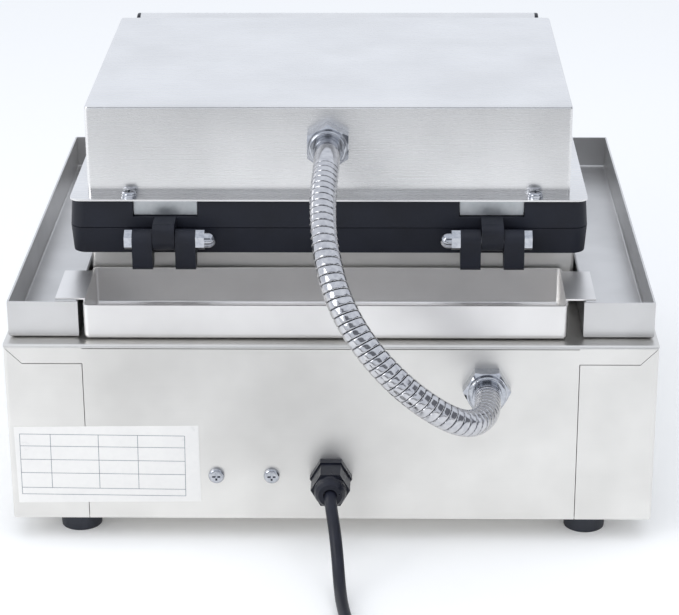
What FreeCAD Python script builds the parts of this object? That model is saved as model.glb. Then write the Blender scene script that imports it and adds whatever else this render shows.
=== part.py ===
import FreeCAD, Part
import math
import os

# Counter-top waffle cone maker, in millimetres.
# +X is the operator's right, -Y the operator's side, +Z up, and Z = 0 the table top.

V = FreeCAD.Vector
X_AXIS = V(1, 0, 0)
Y_AXIS = V(0, 1, 0)
Z_AXIS = V(0, 0, 1)

# Overall sizes
base_width = 360.0
base_depth = 318.0
base_height = 106.0
handle_reach = 340.0      # base rear face to the front of the handle
conduit_reach = 75.4      # base rear face to the furthest rib of the conduit
sheet = 1.0               # stainless sheet
bend = 2.0                # outside radius of a fold
seam = 0.4                # gap between neighbouring folded panels
gap = 0.4                 # gap between pieces that part or slide
running = 0.05            # radial clearance of a turning shaft
slip = 0.1                # radial clearance of a fixed shank
over = 5.0                # how far a cutting tool runs past the face it cuts

# Feet
foot_height = 14.0
foot_radius = 12.5
foot_taper = 1.0
foot_x = 144.5
foot_inset = 22.5
foot_recess = 6.0
foot_screw_radius = 2.5
foot_screw_head = 4.5
foot_screw_head_height = 3.0
foot_screw_end = 6.0

# Base panels
flange_height = 11.0
rear_return = 43.0
panel_fold = 14.0
opening_width = 90.0
opening_depth = 60.0

# Baking plates
plate_width = 292.0
plate_inset = 57.0        # base rear face to the plates' rear edge
front_channel = 52.0      # base front face to the plates' front edge
plate_depth = base_depth - plate_inset - front_channel
plate_shift = 2.0         # the head sits this far to one side
plate_thick = 7.0
plate_corner = 8.0
rim_height = 15.0
rim_wall = 5.0
lower_draft = 1.0
upper_draft = 1.0
plates_z = 167.6          # top face of the lower plate
field_margin = 13.0
field_depth = 1.2
groove_pitch = 14.0
groove_width = 2.0
groove_depth = 1.0

# Pedestal under the lower plate
pedestal_side = 2.0       # pedestal to the rim, on the nearer side
pedestal_width = plate_width - 2 * (rim_wall + plate_shift + pedestal_side)
pedestal_gap = 1.0
pedestal_flange = 12.0
bolt_radius = 2.5
bolt_head = 4.4
bolt_head_height = 3.0
bolt_bite = 4.5
bolt_inset = 36.0
pedestal_nut = 4.0
pedestal_screw_end = 7.0

# Drip tray and rear trough
tray_inset = 10.0
tray_width = 356.0
tray_height = 21.0
arm_clearance = 2.0
trough_side = 1.0         # trough to the pedestal's side, on the nearer side
trough_depth = 53.0
trough_inset = 7.0
trough_bend = 3.0         # outside radius round the trough's bottom
trough_wall_drop = 2.2    # rear wall below the lips
trough_shift = 3.0
trough_width = pedestal_width - 2 * (trough_shift + trough_side)
lip_width = 15.5
lip_depth = 42.0

# Hinges
hinge_pitch = 183.6
hinge_back = 10.0
hinge_drop = 3.5
hinge_radius = 6.0
hinge_bolt_radius = 3.0
tongue_width = 12.2
tongue_play = 0.35
ear_thick = 11.3
ear_drop = 16.3
ear_corner = 2.5
notch_width = 36.6
web_lift = 0.7
bolt_flats = 10.0
bolt_hex_height = 4.4
cap_nut_hex = 5.0
cap_nut_dome = 4.6
cap_nut_neck = 2.0

# Head
cover_side = 10.0         # cover to the plates' edge at each side
cover_end = 8.0           # cover to the plates' edge at front and rear
cover_width = plate_width - 2 * cover_side
cover_depth = plate_depth - 2 * cover_end
cover_height = 53.0
cover_inset = plate_inset + cover_end
cover_flange = 9.5
cover_corner = 6.0
shield_overlap = 2.0
shield_fit = 0.5
lead_hole = 11.0
cover_screw_side = 22.0   # screw to the cover's side
cover_screw_x = cover_width / 2 - cover_screw_side
screw_radius = 1.75
screw_head = 4.2
screw_head_height = 2.6
screw_round = 1.6
screw_nut = 3.0
screw_end = 5.0
recess_depth = 1.4
recess_width = 1.1
recess_length = 4.6
washer_radius = 4.5
washer_thick = 0.8
blanket_side = 31.0
blanket_end = 31.5
blanket_width = cover_width - 2 * blanket_side
blanket_depth = cover_depth - 2 * blanket_end
blanket_height = 32.0
blanket_forward = 15.0
blanket_corner = 10.0

# Heating elements
element_radius = 3.5
element_side = 36.0
element_end = 34.5
element_width = plate_width - 2 * element_side
element_depth = plate_depth - 2 * element_end
element_gap = 50.0

# Handle
handle_radius = 11.0
handle_wall = 1.2
handle_short = 5.0        # handle's end to the cover's side
handle_length = cover_width - 2 * handle_short
handle_z = 210.0
plug_flange = 2.5
plug_depth = 12.0
plug_round = 1.0
arm_side = 40.0           # middle of a bracket to the cover's side
arm_x = cover_width / 2 - arm_side
arm_width = 26.0
arm_thick = 4.0
foot_plate_height = 40.0
foot_plate_corner = 4.0
arm_screw_z = 12.0

# Front controls
control_z = 66.0
control_x = 82.0
shaft_radius = 3.0
shaft_flat = 1.2
shaft_out = 15.0
shaft_in = 20.0
bush_radius = 5.0
bush_out = 3.0
control_body = 40.0
control_body_depth = 32.0
control_corner = 3.0
dial_radius = 30.0
dial_thick = 0.6
knob_radius = 19.0
knob_skirt = 4.0
knob_grip_radius = 14.0
knob_height = 18.0
knob_flutes = 18
knob_flute_radius = 1.6
knob_draft = 1.0
pointer_width = 2.4
pointer_rise = 0.8
pointer_start = 2.0
lamp_x = 16.0
lamp_z = 80.0
lamp_radius = 5.0
lamp_bezel_radius = 7.0
lamp_bezel_thick = 2.0
lamp_depth = 22.0
lamp_wall = 1.0
bulb_x = 10.0
bulb_radius = 3.0
bulb_length = 80.0
capillary_radius = 1.0
capillary_turn = 25.0

# Cable entry
gland_z = 41.0
gland_flats = 19.0
gland_step = 0.75         # body past the nut on each flat
gland_flange = 5.0
gland_nut_hex = 14.0
gland_dome = 6.5
gland_thread = 8.0
gland_shank = 12.0
gland_bore = 4.6
locknut_thick = 4.0
terminal_x = 48.8
terminal_pitch = 31.0
terminal_height = 20.0
terminal_depth = 18.0
terminal_end = 8.0
wire_way_pitch = 8.0
wire_way_radius = 2.2
panel_screw_head = 4.5

# Blank plate
plate_label_x = 125.0
plate_label_z = 47.5
plate_label_width = 103.0
plate_label_height = 47.0
plate_label_thick = 0.3
plate_label_turn = 0.6

# Conduit and its fittings
conduit_radius = 7.2
conduit_root = 6.3
conduit_bore = 5.2
rib_pitch = 3.6
fitting_flats = 23.0
fitting_bore = 5.4
fitting_thread = 8.0
fitting_shank = 9.0
collar_radius = 10.5
collar_round = 1.2
nut_chamfer = 2.0
ferrule_radius = 8.0
upper_fitting_x = 2.0
upper_fitting_z = 215.0
upper_nut = 9.0
upper_collar = 2.5
upper_ferrule_end = 20.0
lower_fitting_x = -86.0
lower_fitting_z = 95.0
lower_nut = 8.0
lower_collar = 2.5
lower_ferrule_end = 14.0

# Power cord
cord_radius = 3.4
coil_pitch = 7.4          # from one turn to the next, sideways and up
coil_outer = 45.0         # middle of the outermost turn
coil_turns = 3
coil_climb = 0.18         # steepest slope between the two layers
coil_back = 166.0         # base rear face to the middle of the coil
tie_thick = 0.8
tie_width = 6.0
tie_play = 0.5
tie_angle = 225.0
plug_radius = 18.5
plug_grip_length = 36.0
plug_relief_length = 26.0
plug_relief_radius = 7.0
plug_neck_radius = 5.0
pin_radius = 2.4
pin_length = 19.0
pin_pitch = 19.0
pin_seat = 8.0
pin_round = 1.4
tail_reach = 62.0

# Levels and places worked out from those sizes
rear_y = (handle_reach - conduit_reach) / 2
front_y = rear_y - base_depth
half = base_width / 2
base_z = foot_height
deck_z = base_z + base_height
return_x = half - rear_return
tray_z = deck_z + gap
tray_top = tray_z + tray_height
tray_rear = rear_y - tray_inset
tray_front = front_y + tray_inset
plate_rear = rear_y - plate_inset
plate_front = plate_rear - plate_depth
plate_mid = (plate_rear + plate_front) / 2
upper_z = plates_z + gap
rim_top = upper_z + rim_height
rim_bottom = plates_z - rim_height
lower_back = plates_z - plate_thick
upper_back = upper_z + plate_thick
hinge_y = plate_rear + hinge_back
hinge_z = plates_z + gap / 2 - hinge_drop
pedestal_rear = plate_rear - rim_wall - pedestal_gap
pedestal_front = plate_front + rim_wall + pedestal_gap
pedestal_half = pedestal_width / 2
cover_rear = rear_y - cover_inset
cover_front = cover_rear - cover_depth
cover_z = rim_top + sheet
cover_top = cover_z + cover_height
handle_y = rear_y - handle_reach + handle_radius
upper_seat = V(upper_fitting_x, cover_rear, upper_fitting_z)
lower_seat = V(lower_fitting_x, rear_y, lower_fitting_z)
upper_nut_end = upper_nut + upper_collar
lower_nut_end = lower_nut + lower_collar
coil_z = tie_thick + tie_play + cord_radius
coil_y = rear_y + coil_back
hinge_span = tongue_width + 2 * tongue_play + 2 * ear_thick
hinge_sides = ((plate_shift + hinge_pitch / 2, 1), (plate_shift - hinge_pitch / 2, -1))


# Building blocks
def box(x0, x1, y0, y1, z0, z1):
    return Part.makeBox(x1 - x0, y1 - y0, z1 - z0, V(x0, y0, z0))


def rod(start, axis, radius, length):
    return Part.makeCylinder(radius, length, start, axis)


def through(place, axis, radius):
    # hole through the sheet at this place
    return Part.makeCylinder(radius, 2 * over, place - axis * over, axis)


def prism(points, travel):
    return Part.Face(Part.makePolygon(points + points[:1])).extrude(travel)


def hexagon(start, axis, flats, length, turn=0.0):
    side = Z_AXIS if abs(axis.dot(Z_AXIS)) < 0.5 else X_AXIS
    other = axis.cross(side)
    corner = flats / math.sqrt(3)
    points = []
    for i in range(6):
        angle = math.radians(60 * i + turn)
        points.append(start + side * (corner * math.cos(angle)) + other * (corner * math.sin(angle)))
    return prism(points, axis * length)


def turned(profile, start, axis):
    # profile holds (distance along the axis, radius) pairs
    side = axis.cross(Z_AXIS) if abs(axis.dot(Z_AXIS)) < 0.5 else X_AXIS
    points = [start + axis * along + side * radius for along, radius in profile]
    face = Part.Face(Part.makePolygon(points + points[:1]))
    return face.revolve(start, axis, 360)


def edges_along(shape, axis):
    found = []
    for edge in shape.Edges:
        if isinstance(edge.Curve, Part.Line) and abs(edge.tangentAt(edge.FirstParameter).dot(axis)) > 0.999:
            found.append(edge)
    return found


def edges_at(shape, z):
    return [e for e in shape.Edges if abs(e.BoundBox.ZMin - z) < 0.01 and abs(e.BoundBox.ZMax - z) < 0.01]


def rounded_block(x0, x1, y0, y1, z0, z1, radius):
    block = box(x0, x1, y0, y1, z0, z1)
    return block.makeFillet(radius, edges_along(block, Z_AXIS))


def fuse(shapes):
    return shapes[0].multiFuse(shapes[1:]).removeSplitter()


def drill(shape, holes):
    return shape.cut(Part.makeCompound(holes))


def group(shapes):
    return Part.makeCompound(shapes)


def save(name, shape):
    shape.exportStep("parts/" + name + ".step")


# Tubes along straight runs joined by tangent arcs
def route_edges(points, label):
    edges = []
    radii = []
    here = points[0]
    for before, corner, after in zip(points, points[1:], points[2:]):
        into = (corner - before).normalize()
        out = (after - corner).normalize()
        turn = math.acos(max(-1.0, min(1.0, into.dot(out))))
        trim = 0.45 * min((corner - before).Length, (after - corner).Length)
        start = corner - into * trim
        end = corner + out * trim
        radius = trim / math.tan(turn / 2)
        middle = corner + (out - into).normalize() * (radius / math.cos(turn / 2) - radius)
        edges.append(Part.LineSegment(here, start).toShape())
        edges.append(Part.Arc(start, middle, end).toShape())
        radii.append(round(radius, 1))
        here = end
    edges.append(Part.LineSegment(here, points[-1]).toShape())
    print(label, "bend radii", radii)
    return edges


def tube(points, radius, label):
    edges = route_edges(points, label)
    path = Part.Wire(edges)
    start = (points[1] - points[0]).normalize()
    profile = Part.Wire(Part.makeCircle(radius, points[0], start))
    solid = path.makePipeShell([profile], True, False)
    expected = math.pi * radius ** 2 * path.Length
    print(label, "length", round(path.Length, 1), "volume over section times length",
          round(solid.Volume / expected, 4))
    return solid


# Base housing
def side_panel(side):
    x_out = side * half
    x_in = side * return_x
    low, high = sorted((x_out, x_in))
    outer = box(low, high, front_y, rear_y, base_z, deck_z - sheet)
    corner_edges = [e for e in edges_along(outer, Z_AXIS) if abs(e.CenterOfMass.x - x_out) < 0.01]
    outer = outer.makeFillet(bend, corner_edges)
    inner_low, inner_high = sorted((x_out - side * sheet, x_in - side * sheet))
    inner = box(inner_low, inner_high, front_y + sheet, rear_y - sheet, base_z - over, deck_z)
    panel = outer.cut(inner)
    # room for the top panel's mitred flanges, front and rear
    reach = flange_height + seam
    past = x_in - side * over
    for y in (front_y - over, rear_y - bend - seam):
        points = [V(x_out, y, deck_z), V(x_out, y, deck_z - sheet - seam),
                  V(x_out - side * (reach - sheet - seam), y, deck_z - reach),
                  V(past, y, deck_z - reach), V(past, y, deck_z)]
        panel = panel.cut(prism(points, Y_AXIS * (bend + seam + over)))
    return panel


def top_panel():
    outer = box(-half, half, front_y, rear_y, deck_z - flange_height, deck_z)
    outer = outer.makeFillet(bend, [e for e in edges_at(outer, deck_z) if e.BoundBox.XLength > base_depth])
    inner = box(-half, half, front_y + sheet, rear_y - sheet, deck_z - flange_height, deck_z - sheet)
    inner = inner.makeFillet(bend - sheet, [e for e in edges_at(inner, deck_z - sheet)
                                            if e.BoundBox.XLength > base_depth])
    panel = outer.cut(inner)
    for side in (-1, 1):
        # mitred ends of the downturned flanges
        foot = deck_z - flange_height
        start = front_y - over
        mitre = [V(side * half, start, deck_z - sheet), V(side * half, start, foot),
                 V(side * (half - flange_height + sheet), start, foot)]
        panel = panel.cut(prism(mitre, Y_AXIS * (base_depth + 2 * over)))
    middle = return_x - seam
    for y0, y1 in ((front_y, front_y + sheet), (rear_y - sheet, rear_y)):
        panel = panel.cut(box(-middle, middle, y0, y1, deck_z - flange_height, deck_z - bend))
    lead_way = box(-opening_width / 2, opening_width / 2, plate_mid - opening_depth / 2,
                   plate_mid + opening_depth / 2, deck_z - sheet, deck_z)
    return drill(panel, [lead_way] + pedestal_screw_holes())


def face_plate(y_outer, inward):
    # flat panel between the side panels' returns, with a stiffening fold at its foot
    width = return_x - seam
    y_inner = y_outer + inward * sheet
    low, high = sorted((y_outer, y_inner))
    wall = box(-width, width, low, high, base_z, deck_z - bend - seam)
    fold_end = y_outer + inward * panel_fold
    low, high = sorted((y_inner, fold_end))
    fold = box(-width, width, low, high, base_z + sheet + seam, base_z + 2 * sheet + seam)
    return fuse([wall, fold])


def rear_panel():
    panel = face_plate(rear_y, -1)
    holes = [through(gland_seat(), Y_AXIS, gland_thread + slip),
             through(lower_seat, Y_AXIS, fitting_thread + slip)]
    holes += [through(V(x, rear_y, gland_z), Y_AXIS, screw_radius + slip) for x in terminal_screw_x()]
    return drill(panel, holes)


def front_panel():
    panel = face_plate(front_y, 1)
    holes = [through(control_seat(side), Y_AXIS, bush_radius + slip) for side in (-1, 1)]
    holes += [through(lamp_seat(side), Y_AXIS, lamp_radius + slip) for side in (-1, 1)]
    return drill(panel, holes)


def foot_places():
    ys = (front_y + foot_inset, rear_y - foot_inset)
    return [V(side * foot_x, y, 0) for side in (-1, 1) for y in ys]


def bottom_plate():
    edge = sheet + seam
    plate = box(-half + edge, half - edge, front_y + edge, rear_y - edge, base_z, base_z + sheet)
    holes = [through(p + Z_AXIS * base_z, Z_AXIS, foot_screw_radius + slip) for p in foot_places()]
    return drill(plate, holes)


def rubber_feet():
    feet = []
    for place in foot_places():
        foot = Part.makeCone(foot_radius - foot_taper, foot_radius, foot_height, place)
        recess = rod(place, Z_AXIS, foot_screw_head + sheet, foot_recess)
        hole = rod(place, Z_AXIS, foot_screw_radius + slip, foot_height)
        feet.append(drill(foot, [recess, hole]))
    return group(feet)


def foot_screws():
    screws = []
    for place in foot_places():
        head = rod(place + Z_AXIS * (foot_recess - foot_screw_head_height), Z_AXIS, foot_screw_head,
                   foot_screw_head_height)
        length = base_z - foot_recess + foot_screw_end
        shank = rod(place + Z_AXIS * foot_recess, Z_AXIS, foot_screw_radius, length)
        screws.append(fuse([head, shank]))
    return group(screws)


# Drip tray and rear trough
def tray_outline(inset, z):
    out = tray_width / 2 - inset
    arm = pedestal_half + arm_clearance + inset
    rear = tray_rear - inset
    front = tray_front + inset
    notch = pedestal_front - arm_clearance - inset
    corners = [(-out, front), (out, front), (out, rear), (arm, rear),
               (arm, notch), (-arm, notch), (-arm, rear), (-out, rear)]
    return [V(x, y, z) for x, y in corners]


def drip_tray():
    outer = prism(tray_outline(0, tray_z), Z_AXIS * tray_height)
    outer = outer.makeFillet(bend, edges_at(outer, tray_z))
    inner = prism(tray_outline(sheet, tray_z + sheet), Z_AXIS * tray_height)
    inner = inner.makeFillet(bend - sheet, edges_at(inner, tray_z + sheet))
    return outer.cut(inner)


def rear_trough():
    x0 = trough_shift - trough_width / 2
    x1 = trough_shift + trough_width / 2
    y1 = rear_y - trough_inset
    y0 = y1 - trough_depth
    outer = box(x0, x1, y0, y1, tray_z, tray_top + gap + sheet)
    outer = outer.makeFillet(trough_bend, edges_along(outer, Z_AXIS) + edges_at(outer, tray_z))
    inner = box(x0 + sheet, x1 - sheet, y0 + sheet, y1 - sheet, tray_z + sheet, tray_top + over)
    inner = inner.makeFillet(trough_bend - sheet, edges_along(inner, Z_AXIS) + edges_at(inner, tray_z + sheet))
    lips = []
    lip_y = (y0 + y1) / 2
    low_wall = box(x0 - over, x1 + over, lip_y + lip_depth / 2, y1 + over,
                   tray_top + gap + sheet - trough_wall_drop, tray_top + over)
    for low, high in ((x0 - lip_width, x0 + sheet), (x1 - sheet, x1 + lip_width)):
        lips.append(box(low, high, lip_y - lip_depth / 2, lip_y + lip_depth / 2, tray_top + gap,
                        tray_top + gap + sheet))
    return fuse([outer.cut(inner).cut(low_wall)] + lips)


# Pedestal and baking plates
def pedestal():
    outer = rounded_block(-pedestal_half, pedestal_half, pedestal_front, pedestal_rear, deck_z, lower_back,
                          bend)
    inner = box(-pedestal_half + sheet, pedestal_half - sheet, pedestal_front + sheet, pedestal_rear - sheet,
                deck_z + sheet, lower_back - sheet)
    lip = sheet + pedestal_flange
    opening = box(-pedestal_half + lip, pedestal_half - lip, pedestal_front + lip, pedestal_rear - lip,
                  deck_z - over, lower_back + over)
    bolts = [through(p + Z_AXIS * lower_back, Z_AXIS, bolt_radius + slip) for p in bolt_places()]
    return drill(outer.cut(inner).cut(opening), bolts + pedestal_screw_holes())


def bolt_places():
    x = pedestal_half - sheet - pedestal_flange / 2
    ys = (pedestal_front + bolt_inset, pedestal_rear - bolt_inset)
    return [V(side * x, y, 0) for side in (-1, 1) for y in ys]


def pedestal_screw_holes():
    return [through(p + Z_AXIS * deck_z, Z_AXIS, bolt_radius + slip) for p in bolt_places()]


def plate_bolts():
    bolts = []
    for place in bolt_places():
        head_z = lower_back - sheet - bolt_head_height
        head = hexagon(place + Z_AXIS * head_z, Z_AXIS, 2 * bolt_head, bolt_head_height)
        shank = rod(place + Z_AXIS * (lower_back - sheet), Z_AXIS, bolt_radius, sheet + bolt_bite)
        bolts.append(fuse([head, shank]))
    return group(bolts)


def pedestal_screws():
    screws = []
    for place in bolt_places():
        head = rod(place + Z_AXIS * (deck_z + sheet), Z_AXIS, bolt_head, bolt_head_height)
        tip = place + Z_AXIS * (deck_z + sheet - pedestal_screw_end)
        shank = rod(tip, Z_AXIS, bolt_radius, pedestal_screw_end)
        nut_seat = place + Z_AXIS * (deck_z - sheet - pedestal_nut)
        nut = hexagon(nut_seat, Z_AXIS, 2 * bolt_head, pedestal_nut)
        screws.append(fuse([head, shank, nut]))
    return group(screws)


def plate_outline(z, inset, corner):
    x0 = plate_shift - plate_width / 2 + inset
    x1 = plate_shift + plate_width / 2 - inset
    y0 = plate_front + inset
    y1 = plate_rear - inset
    block = rounded_block(x0, x1, y0, y1, z, z + sheet, corner)
    return [f for f in block.Faces if abs(f.CenterOfMass.z - z) < 0.01][0].OuterWire


def casting(face_z, back):
    # back is +1 for the upper plate and -1 for the lower one
    draft = upper_draft if back > 0 else lower_draft
    rim_z = face_z + back * rim_height
    wires = [plate_outline(face_z, 0, plate_corner), plate_outline(rim_z, draft, plate_corner)]
    block = Part.makeLoft(wires, True, True)
    floor_z = face_z + back * plate_thick
    z0, z1 = sorted((floor_z, rim_z + back * over))
    cavity = rounded_block(plate_shift - plate_width / 2 + rim_wall, plate_shift + plate_width / 2 - rim_wall,
                           plate_front + rim_wall, plate_rear - rim_wall, z0, z1, plate_corner - rim_wall)
    return block.cut(cavity)


def baking_field(face_z, back):
    # shallow baking recess with a diamond grid of grooves below its floor
    x0 = plate_shift - plate_width / 2 + field_margin
    x1 = plate_shift + plate_width / 2 - field_margin
    y0 = plate_front + field_margin
    y1 = plate_rear - field_margin
    z0, z1 = sorted((face_z - back * over, face_z + back * field_depth))
    recess = rounded_block(x0, x1, y0, y1, z0, z1, plate_corner)
    depth = field_depth + groove_depth
    z0, z1 = sorted((face_z, face_z + back * depth))
    edge = groove_pitch / 2
    field = box(x0 + edge, x1 - edge, y0 + edge, y1 - edge, z0, z1)
    reach = (x1 - x0 + y1 - y0) / math.sqrt(2)
    count = int(reach / groove_pitch / 2)
    middle = V(plate_shift, plate_mid, 0)
    grooves = []
    for turn in (45, -45):
        for i in range(-count, count + 1):
            groove = box(-reach / 2, reach / 2, i * groove_pitch - groove_width / 2,
                         i * groove_pitch + groove_width / 2, z0, z1)
            groove.rotate(V(0, 0, 0), Z_AXIS, turn)
            groove.translate(middle)
            grooves.append(groove)
    grid = grooves[0].multiFuse(grooves[1:]).common(field)
    return recess.fuse(grid)


def ear_blank(x0, x1):
    y0 = hinge_y - hinge_radius
    y1 = hinge_y + hinge_radius
    low = hinge_z - ear_drop
    stem = box(x0, x1, y0, y1, low, hinge_z)
    stem = stem.makeFillet(ear_corner, [e for e in edges_at(stem, low) if e.BoundBox.XLength > ear_corner])
    head = rod(V(x0, hinge_y, hinge_z), X_AXIS, hinge_radius, x1 - x0)
    web = box(x0, x1, plate_rear - rim_wall / 2, hinge_y, rim_bottom + sheet, hinge_z + web_lift)
    return fuse([stem, head, web])


def ear_spans(middle):
    near = tongue_width / 2 + tongue_play
    return [(middle + near, middle + near + ear_thick), (middle - near - ear_thick, middle - near)]


def lower_plate():
    plate = casting(plates_z, -1).cut(baking_field(plates_z, -1))
    solids = [plate]
    holes = []
    for middle, side in hinge_sides:
        for x0, x1 in ear_spans(middle):
            solids.append(ear_blank(x0, x1))
        reach = hinge_span / 2 + over
        holes.append(rod(V(middle - reach, hinge_y, hinge_z), X_AXIS, hinge_bolt_radius + slip, 2 * reach))
    for place in bolt_places():
        holes.append(rod(place + Z_AXIS * lower_back, Z_AXIS, bolt_radius + slip, bolt_bite + slip))
    return drill(fuse(solids), holes)


def tongue(middle):
    x0 = middle - tongue_width / 2
    x1 = middle + tongue_width / 2
    neck_top = upper_back - sheet
    neck = box(x0, x1, hinge_y - hinge_radius, hinge_y + hinge_radius, hinge_z, neck_top)
    back_edge = [e for e in edges_at(neck, neck_top) if abs(e.CenterOfMass.y - hinge_y - hinge_radius) < 0.01]
    neck = neck.makeFillet(hinge_radius - sheet, back_edge)
    hub = rod(V(x0, hinge_y, hinge_z), X_AXIS, hinge_radius, tongue_width)
    arm = box(x0, x1, plate_rear - rim_wall / 2, hinge_y, upper_z, neck_top)
    return fuse([neck, hub, arm])


def upper_plate():
    plate = casting(upper_z, 1).cut(baking_field(upper_z, 1))
    solids = [plate]
    holes = []
    for middle, side in hinge_sides:
        notch = box(middle - notch_width / 2, middle + notch_width / 2, plate_rear - rim_wall - shield_fit,
                    plate_rear + over, upper_back - sheet, rim_top + over)
        solids[0] = solids[0].cut(notch)
        solids.append(tongue(middle))
        holes.append(rod(V(middle - hinge_span / 2, hinge_y, hinge_z), X_AXIS, hinge_bolt_radius + running,
                         hinge_span))
    return drill(fuse(solids), holes)


def hinge_bolts():
    bolts = []
    for middle, side in hinge_sides:
        out = V(middle + side * hinge_span / 2, hinge_y, hinge_z)
        head = hexagon(out, X_AXIS * side, bolt_flats, bolt_hex_height)
        shank = rod(out, X_AXIS * -side, hinge_bolt_radius, hinge_span + cap_nut_hex)
        bolts.append(fuse([head, shank]))
    return group(bolts)


def hinge_cap_nuts():
    nuts = []
    for middle, side in hinge_sides:
        inward = X_AXIS * -side
        seat = V(middle - side * hinge_span / 2, hinge_y, hinge_z)
        body = hexagon(seat, inward, bolt_flats, cap_nut_hex)
        neck = rod(seat + inward * cap_nut_hex, inward, cap_nut_dome, cap_nut_neck)
        dome = Part.makeSphere(cap_nut_dome, seat + inward * (cap_nut_hex + cap_nut_neck))
        bore = rod(seat, inward, hinge_bolt_radius + slip, cap_nut_hex + slip)
        nuts.append(fuse([body, neck, dome]).cut(bore))
    return group(nuts)


def heating_element(z, label):
    x = element_width / 2
    y = element_depth / 2
    end = element_gap / 2
    corners = [(-end, y), (-x, y), (-x, -y), (x, -y), (x, y), (end, y)]
    points = [V(plate_shift + a, plate_mid + b, z) for a, b in corners]
    return tube(points, element_radius, label)


# Head
def cover_block(inset, z0, z1):
    x0 = plate_shift - cover_width / 2 + inset
    x1 = plate_shift + cover_width / 2 - inset
    block = box(x0, x1, cover_front + inset, cover_rear - inset, z0, z1)
    return block.makeFillet(bend - inset, edges_along(block, Z_AXIS) + edges_at(block, z1))


def arm_places():
    return [plate_shift + side * arm_x for side in (-1, 1)]


def arm_screw_places():
    return [V(x, cover_front, handle_z + dz) for x in arm_places() for dz in (-arm_screw_z, arm_screw_z)]


def top_cover():
    shell = cover_block(0, cover_z, cover_top)
    reach = cover_flange
    flange = rounded_block(plate_shift - cover_width / 2 - reach, plate_shift + cover_width / 2 + reach,
                           cover_front - reach, cover_rear + reach, cover_z, cover_z + sheet, cover_corner)
    cover = fuse([shell, flange]).cut(cover_block(sheet, cover_z - over, cover_top - sheet))
    holes = [through(p, Z_AXIS, screw_radius + slip) for p in cover_screw_places()]
    holes.append(through(upper_seat, Y_AXIS, fitting_thread + slip))
    holes += [through(p, Y_AXIS, screw_radius + slip) for p in arm_screw_places()]
    return drill(cover, holes)


def cover_screw_places():
    ys = (cover_rear + cover_flange / 2, cover_front - cover_flange / 2)
    return [V(side * cover_screw_x, y, cover_z + sheet) for side in (-1, 1) for y in ys]


def cover_screws():
    screws = []
    for place in cover_screw_places():
        seat = place + Z_AXIS * washer_thick
        head = rod(seat, Z_AXIS, screw_head, screw_head_height)
        head = head.makeFillet(screw_round, edges_at(head, seat.z + screw_head_height))
        slots = cross_recess(seat + Z_AXIS * screw_head_height, Z_AXIS)
        length = 2 * sheet - slip
        shank = rod(place - Z_AXIS * length, Z_AXIS, screw_radius, length + washer_thick)
        screws.append(fuse([head, shank]).cut(slots))
    return group(screws)


def cross_recess(top, axis):
    # two crossed slots in a screw head
    side = X_AXIS
    other = axis.cross(side)
    bars = []
    for along, across in ((side, other), (other, side)):
        start = top - axis * recess_depth - along * (recess_length / 2) - across * (recess_width / 2)
        points = [start, start + along * recess_length, start + along * recess_length + across * recess_width,
                  start + across * recess_width]
        bars.append(prism(points, axis * (recess_depth + over)))
    return bars[0].fuse(bars[1])


def cover_washers():
    washers = []
    for place in cover_screw_places():
        disc = rod(place, Z_AXIS, washer_radius, washer_thick)
        washers.append(disc.cut(rod(place, Z_AXIS, screw_radius + slip, washer_thick)))
    return group(washers)


def heat_shield():
    inset = rim_wall + shield_fit
    half_x = plate_width / 2 - inset
    x0 = plate_shift - half_x
    x1 = plate_shift + half_x
    y0 = plate_front + inset
    y1 = plate_rear - inset
    low = upper_back + gap
    corner = plate_corner - rim_wall - shield_fit
    skirt = rounded_block(x0, x1, y0, y1, low, rim_top + sheet, corner)
    hollow = rounded_block(x0 + sheet, x1 - sheet, y0 + sheet, y1 - sheet, low - over, rim_top, corner - sheet)
    lip = shield_overlap + shield_fit
    flange = rounded_block(x0 - lip, x1 + lip, y0 - lip, y1 + lip, rim_top, rim_top + sheet, plate_corner)
    # a tab folded down from the flange closes each hinge notch
    tabs = []
    for middle, side in hinge_sides:
        half = notch_width / 2 - shield_fit
        tabs.append(box(middle - half, middle + half, y1 + lip - sheet, y1 + lip, upper_back - sheet + shield_fit,
                        rim_top + sheet))
    holes = [through(p, Z_AXIS, screw_radius + slip) for p in cover_screw_places()]
    lead_y = plate_mid + element_depth / 2 - 2 * lead_hole
    holes.append(through(V(plate_shift, lead_y, rim_top), Z_AXIS, lead_hole))
    return drill(fuse([fuse([skirt, flange]).cut(hollow)] + tabs), holes)


def insulation_blanket():
    middle = plate_mid - blanket_forward
    return rounded_block(plate_shift - blanket_width / 2, plate_shift + blanket_width / 2,
                         middle - blanket_depth / 2, middle + blanket_depth / 2,
                         cover_z, cover_z + blanket_height, blanket_corner)


# Handle
def handle_tube():
    start = V(plate_shift - handle_length / 2, handle_y, handle_z)
    outer = rod(start, X_AXIS, handle_radius, handle_length)
    return outer.cut(rod(start, X_AXIS, handle_radius - handle_wall, handle_length))


def handle_end_plugs():
    plugs = []
    for side in (-1, 1):
        seat = V(plate_shift + side * handle_length / 2, handle_y, handle_z)
        out = X_AXIS * side
        flange = rod(seat, out, handle_radius, plug_flange)
        rim = (seat + out * plug_flange).x
        flange = flange.makeFillet(plug_round, [e for e in flange.Edges if abs(e.CenterOfMass.x - rim) < 0.01])
        stem = rod(seat, out * -1, handle_radius - handle_wall - slip, plug_depth)
        plugs.append(fuse([flange, stem]))
    return group(plugs)


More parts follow.
